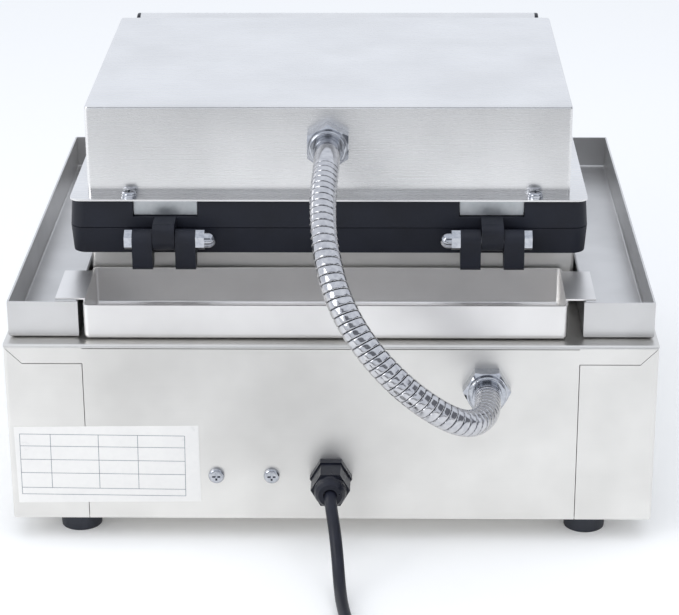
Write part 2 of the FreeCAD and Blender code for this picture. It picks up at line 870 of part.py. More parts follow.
def handle_brackets():
    # flat arm from a foot plate on the cover to a saddle on the tube
    brackets = []
    for x in arm_places():
        x0 = x - arm_width / 2
        x1 = x + arm_width / 2
        foot = box(x0, x1, cover_front - arm_thick, cover_front, handle_z - foot_plate_height / 2,
                   handle_z + foot_plate_height / 2)
        foot = foot.makeFillet(foot_plate_corner, edges_along(foot, Y_AXIS))
        arm = box(x0, x1, handle_y, cover_front, handle_z - arm_thick / 2, handle_z + arm_thick / 2)
        saddle = rod(V(x0 - over, handle_y, handle_z), X_AXIS, handle_radius + slip, arm_width + 2 * over)
        holes = [through(V(x, cover_front, handle_z + dz), Y_AXIS, screw_radius + slip)
                 for dz in (-arm_screw_z, arm_screw_z)]
        brackets.append(drill(fuse([foot, arm]), [saddle] + holes))
    return group(brackets)


def handle_screws():
    screws = []
    for place in arm_screw_places():
        seat = place - Y_AXIS * arm_thick
        head = rod(seat, Y_AXIS * -1, screw_head, screw_head_height)
        shank = rod(seat, Y_AXIS, screw_radius, arm_thick + sheet + screw_end)
        nut = hexagon(place + Y_AXIS * sheet, Y_AXIS, 2 * screw_head, screw_nut)
        slots = cross_recess(seat - Y_AXIS * screw_head_height, Y_AXIS * -1)
        screws.append(fuse([head, shank, nut]).cut(slots))
    return group(screws)


# Front controls
def control_seat(side):
    return V(side * control_x, front_y, control_z)


def d_shaft(radius, flat, start, axis, length):
    shaft = rod(start, axis, radius, length)
    cut = box(start.x - radius, start.x + radius, min(start.y, (start + axis * length).y),
              max(start.y, (start + axis * length).y), start.z + radius - flat, start.z + radius)
    return shaft.cut(cut)


def control_switch(side):
    # square switch body behind the panel, with its bush through the panel
    seat = control_seat(side)
    body_y = front_y + sheet
    block = box(seat.x - control_body / 2, seat.x + control_body / 2, body_y, body_y + control_body_depth,
                seat.z - control_body / 2, seat.z + control_body / 2)
    block = block.makeFillet(control_corner, edges_along(block, Y_AXIS))
    bush = rod(seat - Y_AXIS * bush_out, Y_AXIS, bush_radius, bush_out + sheet)
    bore = rod(seat - Y_AXIS * bush_out, Y_AXIS, shaft_radius + running, bush_out + sheet + shaft_in)
    return fuse([block, bush]).cut(bore)


def control_shaft(side):
    seat = control_seat(side)
    inner = rod(seat - Y_AXIS * bush_out, Y_AXIS, shaft_radius, bush_out + sheet + shaft_in - gap)
    outer = d_shaft(shaft_radius, shaft_flat, seat - Y_AXIS * shaft_out, Y_AXIS, shaft_out - bush_out)
    return fuse([inner, outer])


def control_knob(side):
    seat = control_seat(side) - Y_AXIS * (bush_out + gap)
    out = Y_AXIS * -1
    skirt = rod(seat, out, knob_radius, knob_skirt)
    grip = Part.makeCone(knob_grip_radius, knob_grip_radius - knob_draft, knob_height - knob_skirt,
                         seat + out * knob_skirt, out)
    knob = skirt.fuse(grip)
    flutes = []
    for i in range(knob_flutes):
        angle = 2 * math.pi * (i + 0.5) / knob_flutes
        place = seat + V(math.cos(angle), 0, math.sin(angle)) * (knob_grip_radius + gap) + out * knob_skirt
        flutes.append(rod(place, out, knob_flute_radius, knob_height))
    knob = drill(knob, flutes)
    pointer = box(seat.x - pointer_width / 2, seat.x + pointer_width / 2, seat.y - knob_height - pointer_rise,
                  seat.y - knob_skirt, seat.z + shaft_radius + pointer_start, seat.z + knob_grip_radius)
    hole = d_shaft(shaft_radius + running, shaft_flat, seat, out, shaft_out - bush_out)
    return fuse([knob, pointer]).cut(hole)


def dial_plates():
    plates = []
    for side in (-1, 1):
        seat = control_seat(side)
        disc = rod(seat, Y_AXIS * -1, dial_radius, dial_thick)
        plates.append(disc.cut(rod(seat, Y_AXIS * -1, bush_radius + slip, dial_thick)))
    return group(plates)


def lamp_seat(side):
    return V(side * lamp_x, front_y, lamp_z)


def lamp_housings():
    housings = []
    for side in (-1, 1):
        seat = lamp_seat(side)
        bezel = rod(seat, Y_AXIS * -1, lamp_bezel_radius, lamp_bezel_thick)
        body = rod(seat, Y_AXIS, lamp_radius, lamp_depth)
        pocket = rod(seat - Y_AXIS * lamp_bezel_thick, Y_AXIS, lamp_radius - lamp_wall + slip, lamp_depth / 2)
        housings.append(fuse([bezel, body]).cut(pocket))
    return group(housings)


def lamp_lens(side):
    seat = lamp_seat(side) - Y_AXIS * lamp_bezel_thick
    radius = lamp_radius - lamp_wall
    stem = rod(seat, Y_AXIS, radius, lamp_depth / 2)
    dome = Part.makeSphere(radius, seat)
    return fuse([stem, dome])


def sensor_bulb():
    # thermostat's sensing bulb under the lower plate, with its capillary
    seat = control_seat(1)
    back = front_y + sheet + control_body_depth
    start = V(bulb_x, plate_mid, lower_back - bulb_radius)
    bulb = rod(start, X_AXIS, bulb_radius, bulb_length)
    turn = start - X_AXIS * capillary_turn
    below = V(turn.x, turn.y, deck_z - capillary_turn / 2)
    points = [start, turn, below, V(seat.x / 2, turn.y - capillary_turn, control_z + capillary_turn),
              V(seat.x, back + capillary_turn, control_z), V(seat.x, back, control_z)]
    return fuse([bulb, tube(points, capillary_radius, "capillary")])


# Cable entry
def gland_seat():
    return V(0, rear_y, gland_z)


def gland_body():
    seat = gland_seat()
    flange = hexagon(seat, Y_AXIS, gland_flats + 2 * gland_step, gland_flange, 30)
    shank = rod(seat, Y_AXIS * -1, gland_thread, gland_shank)
    bore = rod(seat - Y_AXIS * gland_shank, Y_AXIS, gland_bore, gland_shank + gland_flange)
    return fuse([flange, shank]).cut(bore)


def gland_nut():
    seat = gland_seat() + Y_AXIS * gland_flange
    body = hexagon(seat, Y_AXIS, gland_flats, gland_nut_hex, 30)
    shoulder = gland_flats / 2
    mouth = cord_radius + gap
    dome = turned([(0, 0), (0, shoulder - 0.3), (gland_dome * 0.35, shoulder - 0.5),
                   (gland_dome * 0.7, shoulder - 1.4), (gland_dome, shoulder - 3.0), (gland_dome, 0)],
                  seat + Y_AXIS * gland_nut_hex, Y_AXIS)
    bore = rod(seat, Y_AXIS, mouth, gland_nut_hex + gland_dome)
    return fuse([body, dome]).cut(bore)


def locknut(seat, axis, flats, thread):
    return hexagon(seat, axis, flats, locknut_thick).cut(rod(seat, axis, thread + slip, locknut_thick))


def terminal_screw_x():
    return [terminal_x + side * terminal_pitch / 2 for side in (-1, 1)]


def terminal_block():
    length = terminal_pitch + 2 * terminal_end
    y1 = rear_y - sheet
    block = box(terminal_x - length / 2, terminal_x + length / 2, y1 - terminal_depth, y1,
                gland_z - terminal_height / 2, gland_z + terminal_height / 2)
    cuts = [rod(V(x, y1 - terminal_depth, gland_z), Y_AXIS, screw_radius + slip, terminal_depth)
            for x in terminal_screw_x()]
    for i in (-1, 0, 1):
        low = V(terminal_x + i * wire_way_pitch, y1 - terminal_depth / 2, gland_z - terminal_height / 2)
        cuts.append(rod(low, Z_AXIS, wire_way_radius, terminal_height))
    return drill(block, cuts)


def terminal_screws():
    screws = []
    for x in terminal_screw_x():
        seat = V(x, rear_y, gland_z)
        head = rod(seat, Y_AXIS, panel_screw_head, screw_head_height)
        rim = seat.y + screw_head_height
        head = head.makeFillet(screw_round, [e for e in head.Edges if abs(e.CenterOfMass.y - rim) < 0.01])
        length = sheet + terminal_depth + screw_end
        shank = rod(seat, Y_AXIS * -1, screw_radius, length)
        nut = hexagon(seat - Y_AXIS * (sheet + terminal_depth), Y_AXIS * -1, 2 * screw_head, screw_nut)
        slots = cross_recess(seat + Y_AXIS * screw_head_height, Y_AXIS)
        screws.append(fuse([head, shank, nut]).cut(slots))
    return group(screws)


def rating_plate():
    plate = box(plate_label_x - plate_label_width / 2, plate_label_x + plate_label_width / 2, rear_y,
                rear_y + plate_label_thick, plate_label_z - plate_label_height / 2,
                plate_label_z + plate_label_height / 2)
    plate.rotate(V(plate_label_x, rear_y, plate_label_z), Y_AXIS, plate_label_turn)
    return plate


# Conduit and its fittings
def fitting_nut(seat, length, collar, turn):
    body = hexagon(seat, Y_AXIS, fitting_flats, length, turn)
    corner = fitting_flats / math.sqrt(3)
    limit = turned([(0, 0), (0, corner + slip), (length - nut_chamfer, corner + slip),
                    (length, corner - nut_chamfer), (length, 0)], seat, Y_AXIS)
    ring = rod(seat + Y_AXIS * length, Y_AXIS, collar_radius, collar)
    rim = seat.y + length + collar
    ring = ring.makeFillet(collar_round, [e for e in ring.Edges if abs(e.CenterOfMass.y - rim) < 0.01])
    bore = rod(seat, Y_AXIS, fitting_thread + slip, length + collar)
    return fuse([body.common(limit), ring]).cut(bore)


def fitting_ferrule(seat, nut_end, end):
    shank = rod(seat - Y_AXIS * fitting_shank, Y_AXIS, fitting_thread, fitting_shank + nut_end)
    sleeve = rod(seat + Y_AXIS * nut_end, Y_AXIS, ferrule_radius, end - nut_end)
    bore = rod(seat - Y_AXIS * fitting_shank, Y_AXIS, fitting_bore, fitting_shank + end)
    return fuse([shank, sleeve]).cut(bore)


def conduit_points():
    # bowed out behind the machine from the upper fitting down to the lower one
    upper_end = cover_rear - rear_y + upper_ferrule_end
    route = [(upper_fitting_x, upper_end, upper_fitting_z), (upper_fitting_x, upper_end + 18, upper_fitting_z),
             (3.7, 5, 204.6), (1.5, 33, 186.2), (-6.6, 52, 163.4), (-23.7, 65, 140.2), (-47.2, 69.5, 118),
             (-72.3, 61.5, 99.5), (lower_fitting_x, lower_ferrule_end + 22, lower_fitting_z),
             (lower_fitting_x, lower_ferrule_end, lower_fitting_z)]
    return [V(x, rear_y + y, z) for x, y, z in route]


def flexible_conduit():
    edges = route_edges(conduit_points(), "conduit")
    lengths = [e.Length for e in edges]
    total = sum(lengths)
    count = int(round(total / rib_pitch))
    pitch = total / count
    print("conduit length", round(total, 1), "ribs", count)

    def station(along):
        for edge, length in zip(edges, lengths):
            if along <= length + 1e-6:
                at = edge.getParameterByLength(min(along, length))
                return edge.valueAt(at), edge.tangentAt(at)
            along -= length

    def ring(along, radius):
        centre, tangent = station(along)
        side = (X_AXIS - tangent * X_AXIS.dot(tangent)).normalize()
        circle = Part.makeCircle(radius)
        turn = FreeCAD.Rotation(side, tangent.cross(side), tangent, "ZXY")
        circle.Placement = FreeCAD.Placement(centre, turn)
        return Part.Wire(circle)

    crest = ((0.0, conduit_root), (0.14, conduit_radius), (0.74, conduit_radius), (0.88, conduit_root))
    outer = [ring((i + share) * pitch, radius) for i in range(count) for share, radius in crest]
    outer.append(ring(total, conduit_root))
    inner = [ring(i * pitch, conduit_bore) for i in range(count + 1)]
    return Part.makeLoft(outer, True, True).cut(Part.makeLoft(inner, True, True))


# Power cord
def cord_points():
    # out of the gland, down to the table and along it to the coil
    mouth = gland_flange + gland_nut_hex + gland_dome
    route = [(0, mouth - 8.5, gland_z), (0, mouth + 5, gland_z), (-3, 46, 30), (-4.6, 54.5, 17.5),
             (-5.8, 66, 7.5), (-7.6, 84, coil_z), (-11.5, 106, coil_z + 0.2), (-17, 132, coil_z),
             (-17, coil_back, coil_z)]
    return [V(x, rear_y + y, z) for x, y, z in route]


def biarc(p0, t0, p1, t1):
    # two arcs that leave p0 along t0 and reach p1 along t1
    span = p1 - p0
    both = span.dot(t0 + t1)
    spread = 2 * (1 - t0.dot(t1))
    reach = (math.sqrt(both ** 2 + spread * span.dot(span)) - both) / spread
    q0 = p0 + t0 * reach
    q1 = p1 - t1 * reach
    joint = (q0 + q1) * 0.5
    arcs = []
    for a, corner, b in ((p0, q0, joint), (joint, q1, p1)):
        chord_mid = (a + b) * 0.5
        rise = corner - chord_mid
        half_chord = (b - a).Length / 2
        sagitta = half_chord * math.tan(math.atan2(rise.Length, half_chord) / 2)
        arcs.append(Part.Arc(a, chord_mid + rise.normalize() * sagitta, b).toShape())
    return arcs


def coil_edges():
    # the turns wind inwards on the table, climb one layer and wind outwards again
    centre = V(cord_points()[-1].x + coil_outer, coil_y, 0)
    angle = math.pi
    radius = coil_outer
    z = coil_z
    slope = 0.0
    edges = []

    def state():
        place = centre + V(radius * math.cos(angle), radius * math.sin(angle), z)
        return place, V(math.sin(angle), -math.cos(angle), slope).normalize()

    inner_turns = [(0.5, -1, 0, 0)] * (2 * coil_turns)
    climb = [(0.25, -1, 0.5, coil_climb), (0.25, 1, 0.5, 0)]
    outer_turns = [(0.5, 1, 0, 0)] * (2 * coil_turns - 1) + [(0.25, 1, 0, 0)]
    for share, outward, layer, end_slope in inner_turns + climb + outer_turns:
        p0, t0 = state()
        angle -= 2 * math.pi * share
        radius += outward * coil_pitch * share
        z += layer * coil_pitch
        slope = end_slope
        p1, t1 = state()
        edges += biarc(p0, t0, p1, t1)
    return edges


def least_gap(edges, radius):
    points = []
    travelled = 0.0
    for edge in edges:
        for i in range(24):
            at = edge.getParameterByLength(edge.Length * i / 24)
            points.append((travelled + edge.Length * i / 24, edge.valueAt(at)))
        travelled += edge.Length
    least = 1e9
    for i, (along, place) in enumerate(points):
        for other_along, other in points[i + 1:]:
            if other_along - along > 6 * radius:
                least = min(least, (other - place).Length)
    return least - 2 * radius


def cord_coil():
    edges = coil_edges()
    path = Part.Wire(edges)
    start = edges[0].tangentAt(edges[0].FirstParameter)
    profile = Part.Wire(Part.makeCircle(cord_radius, edges[0].valueAt(edges[0].FirstParameter), start))
    print("coil length", round(path.Length, 1), "least gap", round(least_gap(edges, cord_radius), 2))
    return path.makePipeShell([profile], True, False)


def coil_end():
    last = coil_edges()[-1]
    return last.valueAt(last.LastParameter)


def plug_seat():
    end = coil_end()
    return V(end.x + tail_reach, end.y, plug_radius + gap)


def cord_tail():
    end = coil_end()
    seat = plug_seat()
    rise = seat.z - end.z
    run = tail_reach / 4
    points = [end, end + V(run, 0, 0), end + V(2 * run, 0, rise * 0.4), end + V(3 * run, 0, rise), seat]
    return tube(points, cord_radius, "tail")


def cord_tie():
    # flat strap round all the turns at one place
    turns = coil_pitch * coil_turns
    low = coil_outer - turns - cord_radius - tie_play
    high = coil_outer + cord_radius + tie_play
    top = coil_z + coil_pitch + cord_radius + tie_play
    strap = box(low - tie_thick, high + tie_thick, -tie_width / 2, tie_width / 2, 0, top + tie_thick)
    strap = strap.cut(box(low, high, -tie_width, tie_width, tie_thick, top))
    strap.rotate(V(0, 0, 0), Z_AXIS, tie_angle)
    strap.translate(V(cord_points()[-1].x + coil_outer, coil_y, 0))
    return strap


def plug_body():
    seat = plug_seat()
    relief = plug_relief_length
    grip = relief + plug_grip_length
    body = turned([(0, 0), (0, plug_neck_radius), (relief, plug_relief_radius), (relief + 4, plug_radius - 5),
                   (relief + 12, plug_radius - 2), (grip - 14, plug_radius), (grip, plug_radius), (grip, 0)],
                  seat, X_AXIS)
    holes = [rod(p - X_AXIS * pin_seat, X_AXIS, pin_radius + slip, pin_seat) for p in pin_seats()]
    return drill(body, holes)


def pin_seats():
    face = plug_seat() + X_AXIS * (plug_relief_length + plug_grip_length)
    return [face + Y_AXIS * (side * pin_pitch / 2) for side in (-1, 1)]


def plug_pins():
    pins = []
    for seat in pin_seats():
        pin = rod(seat - X_AXIS * pin_seat, X_AXIS, pin_radius, pin_seat + pin_length)
        tip = [e for e in pin.Edges if abs(e.CenterOfMass.x - seat.x - pin_length) < 0.01]
        pins.append(pin.makeFillet(pin_round, tip))
    return group(pins)


os.makedirs("parts", exist_ok=True)

# Base
save("right_side_panel", side_panel(1))
save("left_side_panel", side_panel(-1))
save("top_panel", top_panel())
save("rear_panel", rear_panel())
save("front_panel", front_panel())
save("bottom_plate", bottom_plate())
save("rubber_feet", rubber_feet())
save("foot_screws", foot_screws())
save("pedestal", pedestal())
save("plate_bolts", plate_bolts())
save("pedestal_screws", pedestal_screws())
save("lower_plate", lower_plate())
save("lower_element", heating_element(lower_back - element_radius, "lower element"))
save("hinge_bolts", hinge_bolts())
save("hinge_cap_nuts", hinge_cap_nuts())
save("thermostat", control_switch(1))
save("timer", control_switch(-1))
save("dial_plates", dial_plates())
save("lamp_housings", lamp_housings())
save("power_lens", lamp_lens(1))
save("heating_lens", lamp_lens(-1))
save("sensor_bulb", sensor_bulb())
save("terminal_block", terminal_block())
save("terminal_screws", terminal_screws())
save("rating_plate", rating_plate())
save("gland_body", gland_body())
save("gland_nut", gland_nut())
save("gland_locknut", locknut(gland_seat() - Y_AXIS * sheet, Y_AXIS * -1, gland_flats + 2, gland_thread))
save("lower_conduit_nut", fitting_nut(lower_seat, lower_nut, lower_collar, 30))
save("lower_conduit_ferrule", fitting_ferrule(lower_seat, lower_nut_end, lower_ferrule_end))
save("lower_conduit_locknut", locknut(lower_seat - Y_AXIS * sheet, Y_AXIS * -1, fitting_flats, fitting_thread))
save("flexible_conduit", flexible_conduit())

# Removable trays
save("drip_tray", drip_tray())
save("rear_trough", rear_trough())

# Turning controls
save("thermostat_shaft", control_shaft(1))
save("thermostat_knob", control_knob(1))
save("timer_shaft", control_shaft(-1))
save("timer_knob", control_knob(-1))

# Head
save("upper_plate", upper_plate())
save("upper_element", heating_element(upper_back + element_radius, "upper element"))
save("heat_shield", heat_shield())
save("insulation_blanket", insulation_blanket())
save("top_cover", top_cover())
save("cover_screws", cover_screws())
save("cover_washers", cover_washers())
save("handle_tube", handle_tube())
save("handle_end_plugs", handle_end_plugs())
save("handle_brackets", handle_brackets())
save("handle_screws", handle_screws())
save("upper_conduit_nut", fitting_nut(upper_seat, upper_nut, upper_collar, 0))
save("upper_conduit_ferrule", fitting_ferrule(upper_seat, upper_nut_end, upper_ferrule_end))
save("upper_conduit_locknut", locknut(upper_seat - Y_AXIS * sheet, Y_AXIS * -1, fitting_flats, fitting_thread))

# Cord
save("power_cord", tube(cord_points(), cord_radius, "cord"))
save("cord_coil", cord_coil())
save("cord_tail", cord_tail())
save("cord_tie", cord_tie())
save("plug_body", plug_body())
save("plug_pins", plug_pins())
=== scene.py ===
# %% [markdown]
# # A waffle cone maker, seen from behind
# The mechanical model is already built: panels, castings, hinges, screws. This lesson loads it as a
# fixed frame and gives it the looks of the real machine: satin sheet steel, black castings, a
# strip-wound hose and a rubber mains lead.

# %% Load the frame
import math

import bmesh
import bpy
from mathutils import Matrix, Vector


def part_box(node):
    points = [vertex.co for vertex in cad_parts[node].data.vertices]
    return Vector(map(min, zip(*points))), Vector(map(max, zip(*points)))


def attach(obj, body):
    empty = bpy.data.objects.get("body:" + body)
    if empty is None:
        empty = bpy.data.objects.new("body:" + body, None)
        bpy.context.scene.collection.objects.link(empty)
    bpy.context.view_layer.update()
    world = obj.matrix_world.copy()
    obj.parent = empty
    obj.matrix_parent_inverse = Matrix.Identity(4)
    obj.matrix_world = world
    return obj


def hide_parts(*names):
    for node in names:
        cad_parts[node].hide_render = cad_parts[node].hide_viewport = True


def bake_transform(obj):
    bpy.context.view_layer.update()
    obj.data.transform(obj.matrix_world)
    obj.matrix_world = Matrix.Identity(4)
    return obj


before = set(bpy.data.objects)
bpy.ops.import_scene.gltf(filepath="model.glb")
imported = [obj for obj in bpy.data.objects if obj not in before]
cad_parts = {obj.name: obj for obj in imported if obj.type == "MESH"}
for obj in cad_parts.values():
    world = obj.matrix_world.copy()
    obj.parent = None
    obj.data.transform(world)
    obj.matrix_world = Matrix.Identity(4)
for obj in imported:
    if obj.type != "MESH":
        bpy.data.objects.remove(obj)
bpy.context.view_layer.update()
MM = 0.001


def middle_mm(name):
    low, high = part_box(name)
    return [round(v / MM, 1) for v in (low + high) / 2]


REAR = round(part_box("rear_panel")[1].y / MM, 1)    # the base's rear face, in mm

# %% [markdown]
# ## The camera
# A photograph can be matched by hand, by moving the camera until edges line up. Here the place and the
# focal length were solved from the machine's own corners, so they are plain numbers: a long lens, 1.26 m
# behind the middle of the machine and looking 22 degrees down.

# %% Camera
FOCAL_PX = 2243.7
PICTURE_WIDTH = 679      # in pixels
SENSOR = 36.0            # in mm
CAMERA_PLACE = Vector((-28.9, 1262.8, 599.6)) * MM
pitch = math.radians(22.01)
yaw = math.radians(1.20)
roll = math.radians(-0.315)
ahead = Vector((math.sin(yaw) * math.cos(pitch), -math.cos(yaw) * math.cos(pitch), -math.sin(pitch)))
level = ahead.cross(Vector((0, 0, 1))).normalized()
upright = level.cross(ahead)
right = math.cos(roll) * level + math.sin(roll) * upright
up = -math.sin(roll) * level + math.cos(roll) * upright

eye = bpy.data.cameras.new("rear_view")
eye.sensor_fit = "HORIZONTAL"
eye.sensor_width = SENSOR
eye.lens = FOCAL_PX / PICTURE_WIDTH * SENSOR
eye.clip_end = 50.0
camera = bpy.data.objects.new("rear_view", eye)
bpy.context.scene.collection.objects.link(camera)
turn = Matrix((right, up, -ahead)).transposed().to_4x4()
camera.matrix_world = Matrix.Translation(CAMERA_PLACE) @ turn
bpy.context.scene.camera = camera
bpy.context.scene.view_settings.view_transform = "Standard"
print("lens", round(eye.lens, 2), "mm")

# %% [markdown]
# ## Lines that bend
# The machine has two bendy pieces, the mains lead and the hose. Each could be a chain of cylinders, but one
# smooth NURBS line bends as the real thing does. The helpers draw such a line through points in
# millimetres, read the points along its middle, and turn what was made from it into a plain mesh.

# %% Line and mesh helpers
def place_in_scene(name, data):
    piece = bpy.data.objects.new(name, data)
    bpy.context.scene.collection.objects.link(piece)
    return piece


def smooth_line(name, points, resolution=8):
    data = bpy.data.curves.new(name, "CURVE")
    data.dimensions = "3D"
    data.twist_mode = "MINIMUM"
    line = data.splines.new("NURBS")
    line.points.add(len(points) - 1)
    for point, (x, y, z) in zip(line.points, points):
        point.co = (x * MM, y * MM, z * MM, 1.0)
    line.order_u = 3
    line.use_endpoint_u = True
    line.resolution_u = resolution
    return place_in_scene(name, data)


def line_points(curve):
    bare = bpy.data.meshes.new_from_object(curve)
    found = [tuple(v.co) for v in bare.vertices]
    bpy.data.meshes.remove(bare)
    return found


def as_mesh(source, name):
    seen = source.evaluated_get(bpy.context.evaluated_depsgraph_get())
    return place_in_scene(name, bpy.data.meshes.new_from_object(seen))


def shade_smooth(mesh):
    mesh.polygons.foreach_set("use_smooth", [True] * len(mesh.polygons))


print("line helpers ready")

# %% [markdown]
# ## The mains lead
# The lead is a fixed length of rubber-covered cable. Its points are the route: straight out of the gland,
# down to the table, and then a tidy tied coil of the length that isn't in use, which winds inwards, climbs
# to a second layer and winds out again. The coil's points stand a little outside its turns, because a
# smooth line cuts inside its corners.

# %% Route of the mains lead
LEAD = 6.8               # diameter
GLAND_Z = 41
COIL_X, COIL_Y = 28, REAR + 166
COIL_Z = 4.7             # middle of the lead in the first layer
COIL_TURNS = 6.25
STEPS = 16               # points in a turn
FIRST_LAYER = 3.0        # turns
CLIMB = 0.5              # turns from the first layer to the second
OUTER, INNER = 45.0, 22.8
LAY = 7.4                # from one turn to the next, and from layer to layer
DIP = 1.85               # how far the climbing half turn swings inwards
outside = 1 / math.cos(math.pi / STEPS)

route = [(0, 17, GLAND_Z), (0, 30.5, GLAND_Z), (-3, 46, 30), (-4.6, 54.5, 17.5), (-5.8, 66, 7.5),
         (-7.6, 84, 4.7), (-11.5, 106, 4.9), (-17, 132, 4.7)]
route = [(x, REAR + y, z) for x, y, z in route]
for i in range(int(COIL_TURNS * STEPS)):
    turned = (i + 0.5) / STEPS
    climbed = min(max(turned - FIRST_LAYER, 0.0), CLIMB)
    if turned < FIRST_LAYER:
        radius = OUTER - LAY * turned
    elif turned < FIRST_LAYER + CLIMB:
        radius = INNER - DIP + DIP * abs(climbed / CLIMB - 0.5) / 0.5
    else:
        radius = INNER + LAY * (turned - FIRST_LAYER - CLIMB)
    angle = math.pi - 2 * math.pi * turned
    route.append((COIL_X + radius * outside * math.cos(angle), COIL_Y + radius * outside * math.sin(angle),
                  COIL_Z + LAY * climbed / CLIMB))

tail_y = COIL_Y + INNER + LAY * (COIL_TURNS - FIRST_LAYER - CLIMB)
tail_z = COIL_Z + LAY
route += [(COIL_X + along, tail_y, tail_z + rise)
          for along, rise in ((15.5, 0), (31, 2.72), (46.5, 6.8), (62, 6.8))]
print("lead points", len(route))

# %% Mains lead
lead_route = smooth_line("lead_route", route)
lead_path = line_points(lead_route)
lead_route.data.bevel_depth = LEAD / 2 * MM
lead_route.data.bevel_resolution = 4
lead_route.data.use_fill_caps = True
mains_lead = as_mesh(lead_route, "mains_lead")
bpy.data.objects.remove(lead_route)
shade_smooth(mains_lead.data)
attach(mains_lead, "base")
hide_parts("power_cord", "cord_coil", "cord_tail")
mains_lead.visible_glossy = False    # its coil would show as dark blots in the rear panel
print("lead faces", len(mains_lead.data.polygons))

# %% [markdown]
# ## One helper for nodes
# Every material and every Geometry Nodes tree below is a handful of nodes. The first function adds a node,
# sets it and links it, so a cell reads as a list of what the finish is made of. Colours are written as they
# look on a screen, and turned to the linear values that light works with.

# %% Node and colour helpers
def node(tree, kind, sockets=None, **settings):
    made = tree.nodes.new(kind)
    for name, value in settings.items():
        setattr(made, name, value)
    for key, value in (sockets or {}).items():
        if isinstance(value, bpy.types.NodeSocket):
            tree.links.new(value, made.inputs[key])
        else:
            made.inputs[key].default_value = value
    return made


def linear(code):
    parts = [int(code[i:i + 2], 16) / 255 for i in (1, 3, 5)]
    return tuple(c / 12.92 if c <= 0.04045 else ((c + 0.055) / 1.055) ** 2.4 for c in parts) + (1.0,)


def blank_material(name):
    made = bpy.data.materials.new(name)
    made.use_nodes = True
    made.node_tree.nodes.clear()
    return made, made.node_tree


def finish(name, **shader):
    made, tree = blank_material(name)
    values = {key.replace("_", " "): value for key, value in shader.items()}
    surface = node(tree, "ShaderNodeBsdfPrincipled", values)
    node(tree, "ShaderNodeOutputMaterial", {"Surface": surface.outputs["BSDF"]})
    return made, tree, surface


def dress(material, *names):
    for name in names:
        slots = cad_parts[name].data.materials
        if len(slots):
            slots[0] = material
        else:
            slots.append(material)


print("node helpers ready")

# %% [markdown]
# ## Satin stainless sheet
# The panels are folded from stainless sheet with a satin, lightly ground face. Close up it shows fine lines
# along the length of each panel; from a step away it shows soft, slightly wavy reflections, because thin
# sheet is never quite flat. The lines are noise stretched along one direction: along X, or along Y on faces
# that look sideways. Real grinding lines are about 0.1 mm apart, too fine to show, so they are drawn at
# 0.7 mm.

# %% Satin stainless
LINE_LENGTH, LINE_WIDTH = 60.0, 0.7    # of a grinding line, in mm
CLOUD, DENT = 45.0, 70.0               # across a soft stain, and across a dent in the sheet
GRAIN_DEPTH = 0.012


def satin_sheet(name, light, dark, roughness, wave):
    made, tree, surface = finish(name, Metallic=1.0)
    place = node(tree, "ShaderNodeTexCoord").outputs["Object"]
    facing = node(tree, "ShaderNodeNewGeometry").outputs["Normal"]
    facing_x = node(tree, "ShaderNodeSeparateXYZ", {0: facing}).outputs["X"]
    sideways = node(tree, "ShaderNodeMath", {0: facing_x}, operation="ABSOLUTE")
    sideways = node(tree, "ShaderNodeMath", {0: sideways.outputs[0], 1: 0.7}, operation="GREATER_THAN")
    along, across = 1 / (LINE_LENGTH * MM), 1 / (LINE_WIDTH * MM)
    along_x = node(tree, "ShaderNodeMapping", {"Vector": place, "Scale": (along, across, across)})
    along_y = node(tree, "ShaderNodeMapping", {"Vector": place, "Scale": (across, along, across)})
    # a Mix node keeps its vectors in inputs 4 and 5 and in output 1
    lines_at = node(tree, "ShaderNodeMix", {"Factor": sideways.outputs[0], 4: along_x.outputs[0],
                                            5: along_y.outputs[0]}, data_type="VECTOR")
    lines = node(tree, "ShaderNodeTexNoise", {"Vector": lines_at.outputs[1], "Scale": 1.0, "Detail": 3.0,
                                              "Roughness": 0.6})
    clouds = node(tree, "ShaderNodeTexNoise", {"Vector": place, "Scale": 1 / (CLOUD * MM), "Detail": 3.0})
    spread = node(tree, "ShaderNodeMath", {0: lines.outputs["Fac"], 1: 0.10, 2: clouds.outputs["Fac"]},
                  operation="MULTIPLY_ADD")
    shade = node(tree, "ShaderNodeValToRGB", {"Fac": spread.outputs[0]})
    for stop, spot, code in zip(shade.color_ramp.elements, (0.36, 0.72), (dark, light)):
        stop.position = spot
        stop.color = linear(code)
    satin = node(tree, "ShaderNodeMapRange", {"Value": lines.outputs["Fac"], "From Min": 0.3, "From Max": 0.7,
                                              "To Min": roughness - 0.01, "To Max": roughness + 0.02})
    dents = node(tree, "ShaderNodeTexNoise", {"Vector": place, "Scale": 1 / (DENT * MM), "Detail": 1.0})
    wavy = node(tree, "ShaderNodeBump", {"Height": dents.outputs["Fac"], "Strength": 1.0,
                                         "Distance": wave * MM})
    grain = node(tree, "ShaderNodeBump", {"Height": lines.outputs["Fac"], "Strength": 0.05,
                                          "Distance": GRAIN_DEPTH * MM, "Normal": wavy.outputs[0]})
    tree.links.new(shade.outputs["Color"], surface.inputs["Base Color"])
    tree.links.new(satin.outputs[0], surface.inputs["Roughness"])
    tree.links.new(grain.outputs[0], surface.inputs["Normal"])
    return made


# the base's panels are the dullest sheet: a broad, even grey
panel_steel = satin_sheet("satin_stainless_panel", "#EAE8E4", "#DEDCD8", 0.40, 0.10)
# the cover is ground finer, so that it mirrors the sky softly
cover_steel = satin_sheet("satin_stainless_cover", "#EDECEB", "#E3E2E1", 0.27, 0.25)
